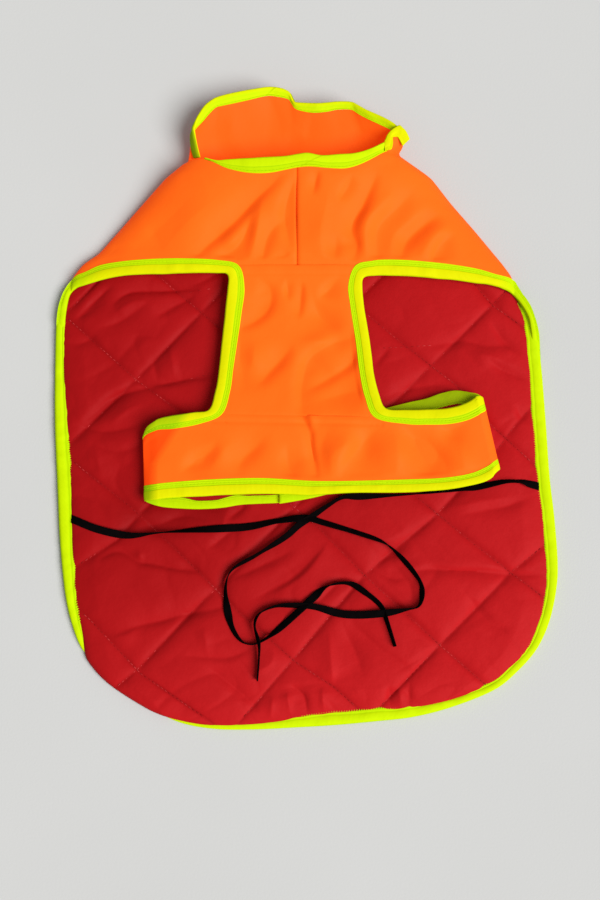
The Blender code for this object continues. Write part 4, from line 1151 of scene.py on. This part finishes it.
def make_yoke(name, leg, side, creases):
    """Half of the yoke, from the centre seam to the shoulder and down round its fold."""
    leg_edge = under_tape(spaced(leg, 300, 0, LEG_CORNERS[0]))[::-1]
    bottom = resampled(np.vstack(((CENTRE_SEAM_X, YOKE_SEAM_Y + SEAM_GAP), leg_edge)), YOKE_COLUMNS)
    neck = NECK_FRONT[NECK_CENTRE::-1] if side < 0 else NECK_FRONT[NECK_CENTRE:]
    top = under_tape(spaced(neck, 300))
    top = resampled(np.vstack((top, NECK_CORNERS[side > 0])), YOKE_COLUMNS)
    up = np.linspace(0, 1, YOKE_ROWS + 1)[None]
    x = bottom[:, :1] + (top[:, :1] - bottom[:, :1]) * up
    y = bottom[:, 1:] + (top[:, 1:] - bottom[:, 1:]) * up
    share = np.linspace(0, 1, YOKE_COLUMNS + 1)[:, None]
    fold = looked_up(SHOULDERS, y, 1 if side < 0 else 2, 2.0)
    x = x + (fold - x[-1:]) * share**5
    x[0] = CENTRE_SEAM_X + side * SEAM_GAP
    seen = clear_of_tape(up * YOKE_DEPTH) * clear_of_tape((1 - up) * YOKE_DEPTH)
    seen = seen * np.clip((1 - share) * 12, 0, 1)
    z = front_height(x, y) + shoulder_lift(x, y) - seam_groove(x, y)
    z = z + front_relief(x, y, creases) * seen
    # Round the shoulder and down to the table, or only a little down where it stands higher
    roll = np.linspace(0.12, 1, FOLD_ROWS)[:, None]
    rolled_x = x[-1:] + side * 0.9 * np.sin(np.pi * roll) - side * 0.8 * roll**2
    rolled_z = z[-1:] + (FOLD_LOW - z[-1:]) * roll
    lifted = np.clip((z[-1:] - 6.5) / 3, 0, 1)
    rolled_z = rolled_z + (z[-1:] - 2.0 * roll - rolled_z) * lifted
    x, y = np.vstack((x, rolled_x)), np.vstack((y, np.repeat(y[-1:], FOLD_ROWS, 0)))
    return orange_piece(name, x, y, np.vstack((z, rolled_z)), CLOTH)


yoke_left = make_yoke("yoke_left_cloth", LEG_LEFT, -1, YOKE_LEFT_CREASES)
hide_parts("yoke_left")
yoke_right = make_yoke("yoke_right_cloth", LEG_RIGHT, 1, YOKE_RIGHT_CREASES)
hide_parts("yoke_right")

# ---- The chest strip ----
# Orange nylon between the two leg openings, sewn to the yoke above and to the belly band below
# with a second row of stitches beside each seam.

CHEST_CREASES = (
    (-1.2, 4.5, (-31, 85), (-24, 81), (-23, 67), (-32, 57), (-44, 51)),
    (-0.8, 6, (-43, 43), (-45, 28), (-39, 7)),
    (-1.5, 5, (-7, 39), (-18, 26), (-31, 11)),
    (-0.9, 2.5, (-11, 83), (-10, 73)),
    (-1.0, 3, (0, 82), (-3, 61)),
    (-1.2, 4, (24, 85), (14, 75)),
    (-1.9, 8, (8, 74), (13, 60), (25, 50)),
    (-1.8, 5.5, (38, 47), (19, 41), (4, 29), (1, 14), (0.6, -10)),
    (-1.6, 5, (44, 37), (26, 21), (6, 8)),
    (-1.9, 10, (10, -2), (26, 3), (44, 6)),
    (1.0, 6, (3, 43), (22, 41)),
    (0.9, 6, (-32, 38), (-37, 21)),
    (0.8, 6, (17, 19), (28, 26)),
)
CHEST_WIDTH = 96.0  # between the leg openings
CHEST_COLUMNS, CHEST_ROWS = 100, 120
left = under_tape(spaced(LEG_LEFT, CHEST_ROWS, *LEG_CORNERS))
right = under_tape(spaced(LEG_RIGHT, CHEST_ROWS, *LEG_CORNERS))
share = np.linspace(0, 1, CHEST_COLUMNS + 1)[:, None]
x = left[None, :, 0] + (right - left)[None, :, 0] * share
y = left[None, :, 1] + (right - left)[None, :, 1] * share
down = np.linspace(0, 1, CHEST_ROWS + 1)[None]
to_yoke = YOKE_SEAM_Y - SEAM_GAP - y[:, :1]
to_band = band_seam(x[:, -1:]) - y[:, -1:]
y = y + to_yoke * (1 - down) ** 6 + to_band * down**6
seen = clear_of_tape(share * CHEST_WIDTH) * clear_of_tape((1 - share) * CHEST_WIDTH)
z = front_height(x, y) + front_relief(x, y, CHEST_CREASES) * seen - seam_groove(x, y)
chest = orange_piece("chest_strip_cloth", x, y, z, CLOTH)
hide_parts("chest_strip")

# ---- The belly band ----
# Orange nylon that crosses the coat under the chest strip and folds back on itself at both
# ends, where the dog's girth would be. It stands up from the lining like a flattened loop.

BAND_LOWER = (  # the band's lower border x and y, and its tape's outer edge x and y
    (-115, -59.4, -114.4, -70.4), (-109.4, -60, -108.8, -71), (-91, -58, -91, -69.2),
    (-64, -56, -64, -67.4), (-29, -55, -29, -66.3), (6, -57, 6, -67), (35, -57, 35, -65.5),
    (72, -56, 72, -65), (96, -55, 97, -63.5), (115, -52, 117, -60), (127, -47, 129, -56),
    (134, -42, 135.5, -49.5), (138.2, -40.8, 139.7, -48.3),
)  # fmt: skip
BAND_CREASES = (
    (-1.0, 2.4, (0.6, 1), (1, -12), (5, -22), (7.5, -38), (8.5, -55)),
    (0.5, 2, (5, -6), (6, -22)),
    (1.6, 12, (33, -17), (27, -34), (23, -54)),
    (-1.6, 4.5, (-60, -31), (-71, -42), (-80, -51)),
    (-1.3, 6, (-27, -27), (-40, -40), (-44, -51)),
    (-1.2, 5, (-12, -33), (-10, -45), (-4, -54)),
    (-1.2, 9, (17, -20), (14, -38), (11, -54)),
    (-2.0, 9, (52, -21), (37, -35), (28, -54)),
    (-1.8, 8, (70, -21), (81, -31), (96, -41), (97, -52)),
    (-1.1, 6, (95, -20), (111, -29)),
    (1.2, 8, (63, -24), (65, -40), (62, -54)),
    (1.1, 7, (33, -26), (21, -40), (19, -54)),
    (1.0, 7, (-50, -28), (-64, -47)),
    (-1.0, 9, (-110, -20), (-114, -34), (-116, -52)),
    (1.0, 8, (111, -35), (109, -49)),
)
BAND_LEAST = -3.4  # no crease of the band goes deeper
CHEST_MIDDLE_X, CHEST_HALF = -3.0, 54.0  # where the chest strip meets the band
CHEST_CORNER = 6.0
BAND_DEPTH = 44.0  # from its upper to its lower border
BAND_COLUMNS, BAND_ROWS = 240, 42


def round_folds(x, y):
    """Lays flat points of the band round its folds: x and the height there."""
    height = front_height(x, y)
    for side, reach, inset in zip((1, -1), FOLD_REACH, band_insets(x, y)):
        turn = np.clip((reach - inset) / (1.15 * reach), 0, 1.5) * math.pi / 2
        turned = (turn > 0) & (y < 20)
        power = 2 / FOLD_SHAPE
        fall = BAND_ROUND * np.sign(np.cos(turn)) * np.abs(np.cos(turn)) ** power
        x = np.where(turned, x + side * (reach * (1 - np.sin(turn) ** power) - inset), x)
        height = np.where(turned, BAND_MIDDLE + fall, height)
    return x, height


leg_left_band = np.array(LEG_LEFT[LEG_CORNERS[1] :])[::-1]
leg_right_band = np.array(LEG_RIGHT[LEG_CORNERS[1] :])
top = [under_tape(spaced(rows, 120)) for rows in (leg_left_band, leg_right_band)]
top = resampled(np.vstack(top), BAND_COLUMNS)
lower = under_tape(spaced(BAND_LOWER, BAND_COLUMNS))
below_chest = CHEST_HALF - np.abs(top[:, 0] - CHEST_MIDDLE_X)
below_chest = np.clip(below_chest / CHEST_CORNER, 0, 1)
top[:, 1] = top[:, 1] + (band_seam(top[:, 0]) - top[:, 1]) * below_chest
down = np.linspace(0, 1, BAND_ROWS + 1)[None]
x = top[:, :1] + (lower[:, :1] - top[:, :1]) * down
y = top[:, 1:] + (lower[:, 1:] - top[:, 1:]) * down
seen = np.maximum(clear_of_tape(down * BAND_DEPTH), below_chest[:, None])
seen = seen * clear_of_tape((1 - down) * BAND_DEPTH)
creased = np.maximum(front_relief(x, y, BAND_CREASES) * seen - seam_groove(x, y), BAND_LEAST)
inset = np.minimum(*band_insets(x, y))
x, z = round_folds(x, y)
band = orange_piece("belly_band_cloth", x, y, z + creased * np.clip(inset / 5, 0, 1), CLOTH)
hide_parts("belly_band")

# ---- Tape along a cloth's edge, as on the leg openings, the band and the neck ----
# Lime bias tape folded over the cloth's edge and sewn down beside its inner border. Each of
# these tapes is one length, and the leg tapes go on round the shoulders over the edge tape.

LEG_STARTS = (  # how each of these tapes goes on round the shoulder over the edge tape
    ((-175.8, 40, -169.6, 40), (-175.6, 50, -169.2, 50), (-175.2, 61, -168.9, 61),
     (-173.8, 71, -167.6, 72), (-170.3, 81.5, -165.8, 78.9)),
    ((169.4, 28, 166, 28), (169, 41.4, 163.4, 41.1), (168, 50.5, 162.2, 51.8),
     (166, 59, 160.6, 60.4), (162.6, 68.3, 157.4, 67.6), (158.2, 76.4, 153.6, 73.6),
     (154.2, 83.6, 148.6, 79)),
)
TAPE_TOPS = 34  # places across a tape's face
TAPE_BACK = (  # its folded edge and hidden side: share of its width, and height
    (1.0, -0.75), (0.985, -1.2), (0.94, -1.6), (0.8, -1.95), (0.45, -1.9), (0.1, -1.8),
    (0.05, -1.55), (0.5, -1.5), (0.78, -0.7), (0.5, 0.03), (0.0, 0.03),
)  # fmt: skip
TAPE_OVER_BOARD = 2.1  # the least height of the face that a tape is folded over
TAPE_STITCH = 0.34
TAPE_STITCH_PITCH = 2.6
TAPE_STITCH_LENGTH = 2.3
FRONT_GROOVES = (0.105, 0.235, 0.37)  # stitch rows of the front's tapes, as shares of the width
FRONT_BULGE = 0.5
TAPE_GROOVE, TAPE_GROOVE_WIDE = 0.25, 0.022  # depth, and width as a share of the tape's
TAPE_FLATTENED = 0.85  # how much of its thickness a tape loses at a flat end


def bind(name, border, edge, grooves, bulge, finish, flat_ends=(0.0, 0.0), lay=None, join=None):
    """Tape folded over an edge. border and edge are rows of x, y and height of the cloth's
    face, at the tape's inner border and at the free edge, or x and y only if lay gives the
    heights. Over flat_ends the tape thins. One length of it ends on the next at join: x, slant
    across the tape and step."""
    tops = np.linspace(0, 1, TAPE_TOPS)
    rise = 0.5 * np.clip(tops / 0.03, 0, 1) ** 0.5
    swell = bulge * np.sin(np.pi * np.clip((tops - 0.3) / 0.7, 0, 1)) ** 0.8
    crown = rise + swell - 0.9 * np.clip((tops - 0.9) / 0.1, 0, 1) ** 2
    for groove in grooves:
        crown = crown - TAPE_GROOVE * np.exp(-(((tops - groove) / TAPE_GROOVE_WIDE) ** 2))
    shares, heights = np.vstack((np.column_stack((tops, crown)), TAPE_BACK)).T
    flat_border, flat_across = border, edge - border
    if lay is not None:
        border, edge = lay(border), lay(edge)
    length = travelled((border + edge) / 2)
    run = np.gradient((border + edge) / 2, axis=0)
    run /= np.linalg.norm(run, axis=1)[:, None]
    normal = np.cross(run, edge - border)
    normal /= np.linalg.norm(normal, axis=1)[:, None]
    normal *= np.sign(normal[:, 2].mean())
    u, v = np.meshgrid(length, shares, indexing="ij")
    from_ends = (length, length[-1] - length)
    thin = [np.exp(-((far / (reach + 1e-6)) ** 4)) for far, reach in zip(from_ends, flat_ends)]
    lift = heights[None] * (1 - TAPE_FLATTENED * np.maximum(*thin))[:, None]
    loose = np.clip(heights, 0, 1)[None]
    wavy = unevenness(u, v * 7, 7, 95) + unevenness(u, v * 3, 19, 96)
    lift = lift + 0.3 * loose * wavy
    if join is not None:
        join_x, slant, step = join
        past = u - length[np.argmin(np.abs(border[:, 0] - join_x))] - slant * v
        lift = lift + loose * step * np.clip(past / 0.6, 0, 1) * np.exp(-np.maximum(past, 0) / 14)
    wave = 0.025 * unevenness(u, 0 * u, 12, 97) * np.clip(v, 0, 1)
    points = flat_border[:, None] + flat_across[:, None] * (v + wave)[..., None]
    if lay is not None:
        points = lay(points.reshape(-1, 2)).reshape(len(points), -1, 3)
    points = points + normal[:, None] * lift[..., None]
    marks = np.concatenate((tops, 1 + np.linspace(0.05, 1, len(TAPE_BACK))))
    piece = sweep_piece(name, points, length, marks)
    finish_cloth(piece, finish, 50)
    return piece


def stitches_along(name, line, height):
    """A straight row of tape stitches over a line by a height."""
    line = line + np.array([0, 0, height])
    distance = travelled(line)
    first = np.arange(2, distance[-1] - 3, TAPE_STITCH_PITCH)
    starts, ends = (
        np.stack([np.interp(place, distance, column) for column in line.T], 1)
        for place in (first, first + TAPE_STITCH_LENGTH)
    )
    sew(name, starts, ends, TAPE_STITCH, lime_thread)


front_lime = tape_finish(
    "front_tape_lime",
    ((0.0, LIME_BRIGHT), (0.075, LIME_BRIGHT), (0.105, LIME_GROOVE_SHADE), (0.14, LIME_GREEN),
     (0.21, LIME_GREEN), (0.235, LIME_GROOVE_SHADE), (0.265, LIME_GREEN), (0.34, LIME_GREEN),
     (0.37, LIME_GROOVE_SHADE), (0.42, LIME_YELLOW_HIGHLIGHT), (0.93, LIME_YELLOW_HIGHLIGHT), (1.0, LIME_BRIGHT)),
)


def raised(points):
    """x, y and the front half's height at points of a tape, folded back past the band's folds."""
    x, z = round_folds(points[:, 0], points[:, 1])
    z = np.maximum(z + shoulder_lift(points[:, 0], points[:, 1]), TAPE_OVER_BOARD)
    return np.column_stack((x, points[:, 1], z))


def front_tape(name, table, count, flat_ends):
    """A tape of the front half in one length, with one of its stitch rows in thread."""
    rows = spaced(table, count)
    border, edge = rows[:, :2], rows[:, 2:4]
    tape = bind(name, border, edge, FRONT_GROOVES, FRONT_BULGE, front_lime, flat_ends, raised)
    stitches_along(name + "_stitches", raised(under_tape(rows, FRONT_GROOVES[1])), 0.34)
    return tape


leg_tape_left = front_tape("leg_tape_left", LEG_STARTS[0] + LEG_LEFT[:-1], 340, (0, 8))
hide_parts("leg_binding_left")
leg_tape_right = front_tape("leg_tape_right", LEG_STARTS[1] + LEG_RIGHT, 340, (0, 8))
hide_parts("leg_binding_right")
band_tape = front_tape("belly_band_tape", BAND_LOWER, 260, (8, 8))
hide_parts("band_binding")

# ---- The belly band's ends ----
# The band goes on behind its folds, between the front and the lining, and the right end lies
# over the left one. Its inner face is red and both its edges carry a thinner lime tape.

BAND_ENDS = {  # from the fold inwards: x, upper edge y, lower edge y, rise over the loop's floor
    "left": (
        (-111, -28, -71, 0), (-104, -23.5, -73.4, 0), (-95, -22, -75, 0), (-74, -23, -76, 0),
        (-56, -22, -75, 0), (-40, -21, -72.6, 0), (-15, -20, -71.5, 0), (8, -20, -68, 0),
    ),
    "right": (
        (125.4, 3.4, -49, 0), (122.5, 5.6, -48, 0), (115, 7, -46, 0), (107, 7.6, -45, 0),
        (97, 5.3, -47, 0), (85.5, 1.7, -50, 0), (73, -1, -53, 0), (50, -7, -58, 0),
        (30, -11, -62.5, 0.9), (6, -16, -68.5, 2.3), (-16, -20, -72.5, 2.3),
    ),
}  # fmt: skip
END_TAPE_WIDTHS = {  # x, and the width of each end's upper and lower tape
    "left": (
        (-111, 9.5, 2.5), (-100, 9.5, 6.5), (-88, 9.5, 8.0), (-80, 9.5, 7.0), (-75, 9.5, 5.7),
        (-60, 9.5, 5.5), (-53, 9.5, 6.9), (-47, 9.5, 7.3), (-39, 9.5, 5.6), (8, 9.5, 5.6),
    ),
    "right": ((-16, 9.5, 7.0), (125, 9.5, 7.0)),
}
END_TAPE_OVER = 2.4  # how far the tapes reach past the cloth
END_COLUMNS, END_ROWS = 150, 36
END_FOLD_GAP = 1.0  # between the ends' cloth and the folds
END_UNDER = 0.2  # how much lower they lie than the loop's floor
END_SINK = 1.3  # how much lower again beside their folds
END_SINK_REACH = 9.0
END_GROOVE = 0.12
END_BULGE = 0.15
END_OVERLOCK = ((-0.05, 0.25), (0.09, 0.45))  # its inner and outer ends: share across, height
END_OVERLOCK_THICK = 0.5

end_finishes = {
    # The upper end tapes show their inner side, coloured with painted shade and less glow
    "upper": tape_finish(
        "end_tape_inside_shaded",
        ((0.0, LIME_UNDER_SHADE), (0.9, LIME_UNDER_SHADE), (0.95, LIME_GREEN), (1.0, LIME_BRIGHT)),
        glow=(0.01, 0.02, 0.0),
    ),
    "lower": tape_finish(
        "end_tape_lime",
        ((0.0, LIME_GREEN), (0.08, LIME_GREEN), (0.12, LIME_GROOVE_SHADE), (0.17, LIME_GREEN),
         (0.9, LIME_GREEN), (1.0, LIME_BRIGHT)),
    ),
}


def make_band_end(side):
    """One end of the band behind its fold, with a tape on its upper and its lower edge."""
    table = BAND_ENDS[side]
    fold_x, lean = BAND_FOLDS[0] if side == "left" else BAND_FOLDS[1]
    fold_x = fold_x + END_FOLD_GAP if side == "left" else fold_x - END_FOLD_GAP
    rows = spaced(table[::-1], END_COLUMNS)
    outwards = np.linspace(0, 1, END_COLUMNS + 1)[:, None]

    def face(y_share, lift):
        upper, lower = rows[:, 1:2], rows[:, 2:3]
        y = upper + (lower - upper) * y_share
        x = rows[:, :1] + (fold_x - lean * y - rows[-1:, :1]) * outwards**3
        inset = np.minimum(*band_insets(x, y))
        wave = 0.35 * unevenness(x, y, 24, 101) * np.clip(inset / 10, 0, 1)
        wave = wave - END_SINK * np.clip(1 - inset / END_SINK_REACH, 0, 1)
        return x, y, BAND_MIDDLE + rows[:, 3:4] - fold_half(x, y) + lift - END_UNDER + wave

    depth = rows[:, 1:2] - rows[:, 2:3]
    hidden = END_TAPE_OVER / depth
    share = hidden + (1 - 2 * hidden) * np.linspace(0, 1, END_ROWS + 1)[None]
    cloth = orange_piece(f"band_end_{side}_cloth", *face(share, 0.0), CLOTH, facing=-1)
    cloth.data.materials.append(red.material)
    for polygon in cloth.data.polygons:
        if polygon.normal.z > 0.3:
            polygon.material_index = 1
    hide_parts(f"band_end_{side}")
    tapes = []
    for where, column, outermost, sign in (("upper", 1, 0.0, 1), ("lower", 2, 1.0, -1)):
        wide = looked_up(END_TAPE_WIDTHS[side], rows[:, :1], column, 2.0)
        inner_share = outermost + sign * wide / depth
        border = np.hstack(face(inner_share, CLOTH))
        edge = np.hstack(face(np.full_like(depth, outermost), CLOTH))
        name = f"band_end_{side}_{where}_tape"
        tape = bind(name, border, edge, (END_GROOVE,), END_BULGE, end_finishes[where], (0, 6))
        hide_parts(f"end_binding_{side}_{where}")
        first, last = (
            border + (edge - border) * across + (0, 0, height) for across, height in END_OVERLOCK
        )
        thick = END_OVERLOCK_THICK
        sew(name + "_overlock", last[1:-2], first[2:-1], thick, lime_thread)
        tapes.append(tape)
    return cloth, tapes


end_left, end_left_tapes = make_band_end("left")
end_right, end_right_tapes = make_band_end("right")

# ---- The neck tape ----
# The same tape round the neck: along the yoke's upper edge, and round the collar's rim, where
# its end folds over into an ear at the right.

NECK_STITCHES = 0.15  # where its stitch row lies, as a share of its width
# Where one length of it ends on the next, at the front and at the back: x, slant and step
NECK_FRONT_JOIN = (-2, 18, 0.4)
NECK_BACK_JOIN = (-27, 4, 0.9)
EAR = (  # the neck tape's folded end at the right: its two borders x, y and height
    (58.3, 177.3, 26.2, 57.9, 184.5, 25.8), (60.8, 177.9, 26.4, 58.2, 185.7, 26),
    (63.0, 178.8, 26.2, 58.8, 186.8, 26), (64.0, 182.5, 26, 59.4, 188.4, 25.8),
    (64.1, 185.7, 25.5, 60.7, 190.7, 25.4), (64.0, 187.5, 25, 63.0, 193.3, 25.2),
    (65.4, 188.3, 24.5, 65.9, 195.7, 24.8), (67.4, 188.3, 24.2, 69.1, 197.5, 24.4),
    (68.2, 187.4, 24, 71.5, 195.6, 24.1), (69.1, 186.0, 23.7, 73.3, 194.0, 23.6),
    (70.2, 184.0, 23.2, 75.2, 190.8, 23.1), (71.2, 182.3, 22.7, 76.5, 187.6, 22.5),
)  # fmt: skip
neck_rows = spaced(NECK_FRONT, 190)
neck_lime = tape_finish(
    "neck_tape_lime",
    ((0.0, LIME_BRIGHT), (0.1, LIME_BRIGHT), (0.15, LIME_GROOVE_SHADE), (0.2, LIME_GREEN),
     (0.34, LIME_GREEN), (0.38, LIME_GROOVE_SHADE), (0.43, LIME_BRIGHT), (1.0, LIME_BRIGHT)),
)
neck_front = bind(
    "neck_front_tape", neck_rows[:, :2], neck_rows[:, 2:4], (NECK_STITCHES, 0.38), 0.35,
    neck_lime, lay=raised, join=NECK_FRONT_JOIN,
)
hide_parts("neck_binding_front")
stitches_along("neck_front_stitches", raised(under_tape(neck_rows, NECK_STITCHES)), 0.26)

back_rows = spaced(NECK_BACK, 300)
back_border, back_edge = back_rows[:, :3], back_rows[:, 3:]
rim_lime = tape_finish(
    "neck_rim_lime",
    ((0.0, LIME_BRIGHT), (0.1, LIME_BRIGHT), (0.15, LIME_GROOVE_SHADE), (0.2, LIME_BRIGHT),
     (0.45, LIME_BRIGHT), (0.5, LIME_GREEN), (0.56, LIME_BRIGHT), (1.0, LIME_YELLOW_HIGHLIGHT)),
)
neck_back = bind(
    "neck_back_tape", back_border, back_edge, (NECK_STITCHES,), 0.3, rim_lime,
    join=NECK_BACK_JOIN,
)
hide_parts("neck_binding_back")
back_stitches = back_border + NECK_STITCHES * (back_edge - back_border)
stitches_along("neck_back_stitches", back_stitches[30:], 0.26)
ear_rows = spaced(EAR, 90)
ear_lime = tape_finish("neck_ear_lime", ((0.0, LIME_YELLOW_HIGHLIGHT), (1.0, LIME_YELLOW_HIGHLIGHT)))
bind("neck_tape_ear", ear_rows[:, :3], ear_rows[:, 3:], (), 0.3, ear_lime)

# ---- The two ties ----
# Flat black woven tape, sewn in under the edge tape at both sides. They come out from under it,
# cross below the band, and lie in loose loops on the lining with cut ends.

TIE_WIDTH = 5.4
TIE_THICK = 0.9
TIE_OVER_LINING = 0.35
TIE_LIFT = 1.7  # how much a tie lifts over the one that it crosses
TIE_LIFT_REACH = 13.0
TIE_LEFT_HIDDEN, TIE_RIGHT_HIDDEN = 5.4, 4.6  # the length of each under the edge tape
TIE_DIP = 2.2  # how deep that start lies
TIE_DIP_REACH = 1.2
TIE_PICKS = 0.0011  # metres from one raised thread of its weave to the next
TIE_STEPS = 420
TIE_SMOOTHED = 9  # over how many of these steps its height is smoothed
TIE_LEFT = (
    (-165.6, -80), (-158, -83.4), (-141, -90), (-120, -94), (-99, -92), (-71, -90), (-39, -88),
    (-18, -84), (2, -82), (14, -85), (40, -93), (56, -99), (66, -107), (77, -120), (82, -130),
    (80, -142), (71, -145), (50, -148), (28, -148), (8, -143), (-8, -142), (-20, -143),
    (-30, -148), (-33, -156), (-30, -168), (-30, -180), (-31, -193),
)  # fmt: skip
TIE_RIGHT = (
    (169, -60.8), (164.5, -59.3), (158, -57.9), (152, -56.5), (141, -56.5), (128, -59),
    (110, -61.5), (90, -64), (66, -66), (40, -67), (28, -67.5), (18, -73), (6, -81), (-3, -87),
    (-12, -95), (-31, -107), (-48, -117), (-53, -128), (-52, -144), (-48, -158), (-41, -167),
    (-32, -168), (-20, -161), (-6, -149), (6, -138), (17, -129), (32, -127), (44, -134),
    (54, -143), (58, -154), (63, -170),
)  # fmt: skip
# How each tie turns about itself: distance along it, and degrees
LEFT_TURNS = (
    (0, 0), (16, 12), (34, 15), (46, 52), (56, 84), (64, 92), (70, 98), (76, 108), (82, 119),
    (88, 131), (96, 147), (104, 165), (112, 178), (124, 170), (136, 148), (146, 132),
    (158, 150), (166, 160), (174, 141), (186, 138), (196, 130), (212, 128), (220, 117),
    (226, 96), (232, 83), (238, 66), (246, 57), (256, 69), (262, 78), (268, 52), (274, 69),
    (280, 90), (286, 99), (292, 125), (298, 146), (310, 164), (334, 178), (346, 141),
    (352, 136), (362, 130), (370, 122), (376, 105), (382, 97), (388, 90), (394, 70), (400, 82),
    (409, 62), (418, 81), (437, 85),
)  # fmt: skip
RIGHT_TURNS = (
    (0, 0), (4, 8), (9, 35), (14, 66), (22, 62), (28, 49), (34, 45), (40, 30), (46, 15), (52, 45),
    (58, 55), (64, 58), (70, 68), (76, 72), (82, 76), (88, 87), (94, 90), (100, 93),
    (106, 101), (112, 112), (118, 126), (124, 140), (130, 137), (136, 115), (142, 103),
    (150, 112), (160, 130), (170, 145), (178, 140), (190, 130), (196, 126), (202, 109),
    (208, 101), (214, 110), (222, 109), (232, 90), (238, 83), (244, 71), (250, 58), (256, 28),
    (262, 5), (268, 48), (274, 55), (280, 66), (286, 90), (292, 92), (304, 110), (310, 135),
    (316, 147), (328, 146), (340, 158), (346, 174), (352, 120), (358, 90), (364, 79),
    (370, 76), (376, 46), (382, 41), (388, 56), (400, 60), (412, 68), (429, 76),
)  # fmt: skip
# Where a tie crosses a tie, and which lies on top
CROSSINGS = ((-2, -82, "left"), (-1, -142, "right"), (-30, -166, "left"), (58, -148, "left"))

black = Finish("black_tie_tape", 0.8, 0.015)
tie_run, tie_across, _ = black.place("UV")
tie_picks = (tie_run * (2 * math.pi / TIE_PICKS) + tie_across * 9.0).sine()
tie_ends = (tie_across * 44.0).sine()
tie_worn = black.patches(0.003, 2.0)
tie_tint = black.mix(tie_worn, (0.0010, 0.0007, 0.0008, 1), (0.0028, 0.0020, 0.0022, 1))
black.set("Base Color", tie_tint)
black.bump(tie_picks * 0.4 + tie_ends * 0.4 + black.patches(0.0012, 2.0), 0.00007)


def make_tie(name, route, side, turns, hidden, inwards):
    """A flat tape along its route, turned about it by turns: distance along it from where it
    comes out of the edge tape, after its hidden length, and degrees. It comes out towards +X or
    -X, which inwards gives as 1 or -1."""
    x, y = spaced(route, TIE_STEPS).T
    around = (-2.5, 0.0, 2.5)
    under = np.max([lining_top(x + dx, y + dy) for dx in around for dy in around], 0)
    eased = np.sqrt(np.clip(from_sides(x, y) / LINING_EASE, 0, 1))
    under = LINING_RIM + (under - LINING_RIM) * eased
    lift = np.zeros_like(x)
    for cross_x, cross_y, top in CROSSINGS:
        if top == side:
            far = np.hypot(x - cross_x, y - cross_y)
            lift = np.maximum(lift, TIE_LIFT * np.exp(-((far / TIE_LIFT_REACH) ** 4)))
    z = under + TIE_OVER_LINING + TIE_THICK / 2 + lift
    padded = np.pad(z, TIE_SMOOTHED // 2, mode="edge")
    smoothed = np.convolve(padded, np.ones(TIE_SMOOTHED) / TIE_SMOOTHED, "valid")
    z = np.maximum(smoothed, z - 0.5)
    line = np.column_stack((x, y, z))
    distance = travelled(line)
    run = np.gradient(line, axis=0)
    run /= np.linalg.norm(run, axis=1)[:, None]
    flat = np.column_stack((-run[:, 1], run[:, 0], np.zeros(len(run))))
    flat /= np.linalg.norm(flat, axis=1)[:, None]
    up = np.cross(run, flat)
    turn = np.radians(looked_up(turns, distance - hidden, 1, 2.5))
    lifted = np.abs(np.sin(turn)) * TIE_WIDTH / 2 * 0.8
    line[:, 2] += np.maximum(lifted - 0.3, 0)
    wide = flat * np.cos(turn)[:, None] + up * np.sin(turn)[:, None]
    thin = -flat * np.sin(turn)[:, None] + up * np.cos(turn)[:, None]
    a, b = TIE_WIDTH / 2, TIE_THICK / 2
    section = np.array([
        (-a, -b * 0.5), (-a, b * 0.5), (-a + 0.3, b), (-a * 0.5, b * 0.8), (0, b * 0.9),
        (a * 0.5, b * 0.8), (a - 0.3, b), (a, b * 0.5), (a, -b * 0.5), (a - 0.3, -b),
        (a * 0.5, -b * 0.8), (0, -b * 0.9), (-a * 0.5, -b * 0.8), (-a + 0.3, -b),
    ])
    points = (
        line[:, None]
        + wide[:, None] * section[None, :, :1]
        + thin[:, None] * section[None, :, 1:]
    )
    out_x = np.interp(hidden, distance, x)
    still_in = np.clip((out_x - points[..., 0]) * inwards / TIE_DIP_REACH, 0, 1)
    points[..., 2] -= TIE_DIP * still_in
    marks = (section[:, 0] + a) / TIE_WIDTH
    piece = sweep_piece(name, points, distance, marks)
    finish_cloth(piece, black, 50)
    return piece


tie_left = make_tie("tie_left_tape", TIE_LEFT, "left", LEFT_TURNS, TIE_LEFT_HIDDEN, 1)
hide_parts("tie_left")
tie_right = make_tie("tie_right_tape", TIE_RIGHT, "right", RIGHT_TURNS, TIE_RIGHT_HIDDEN, -1)
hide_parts("tie_right")
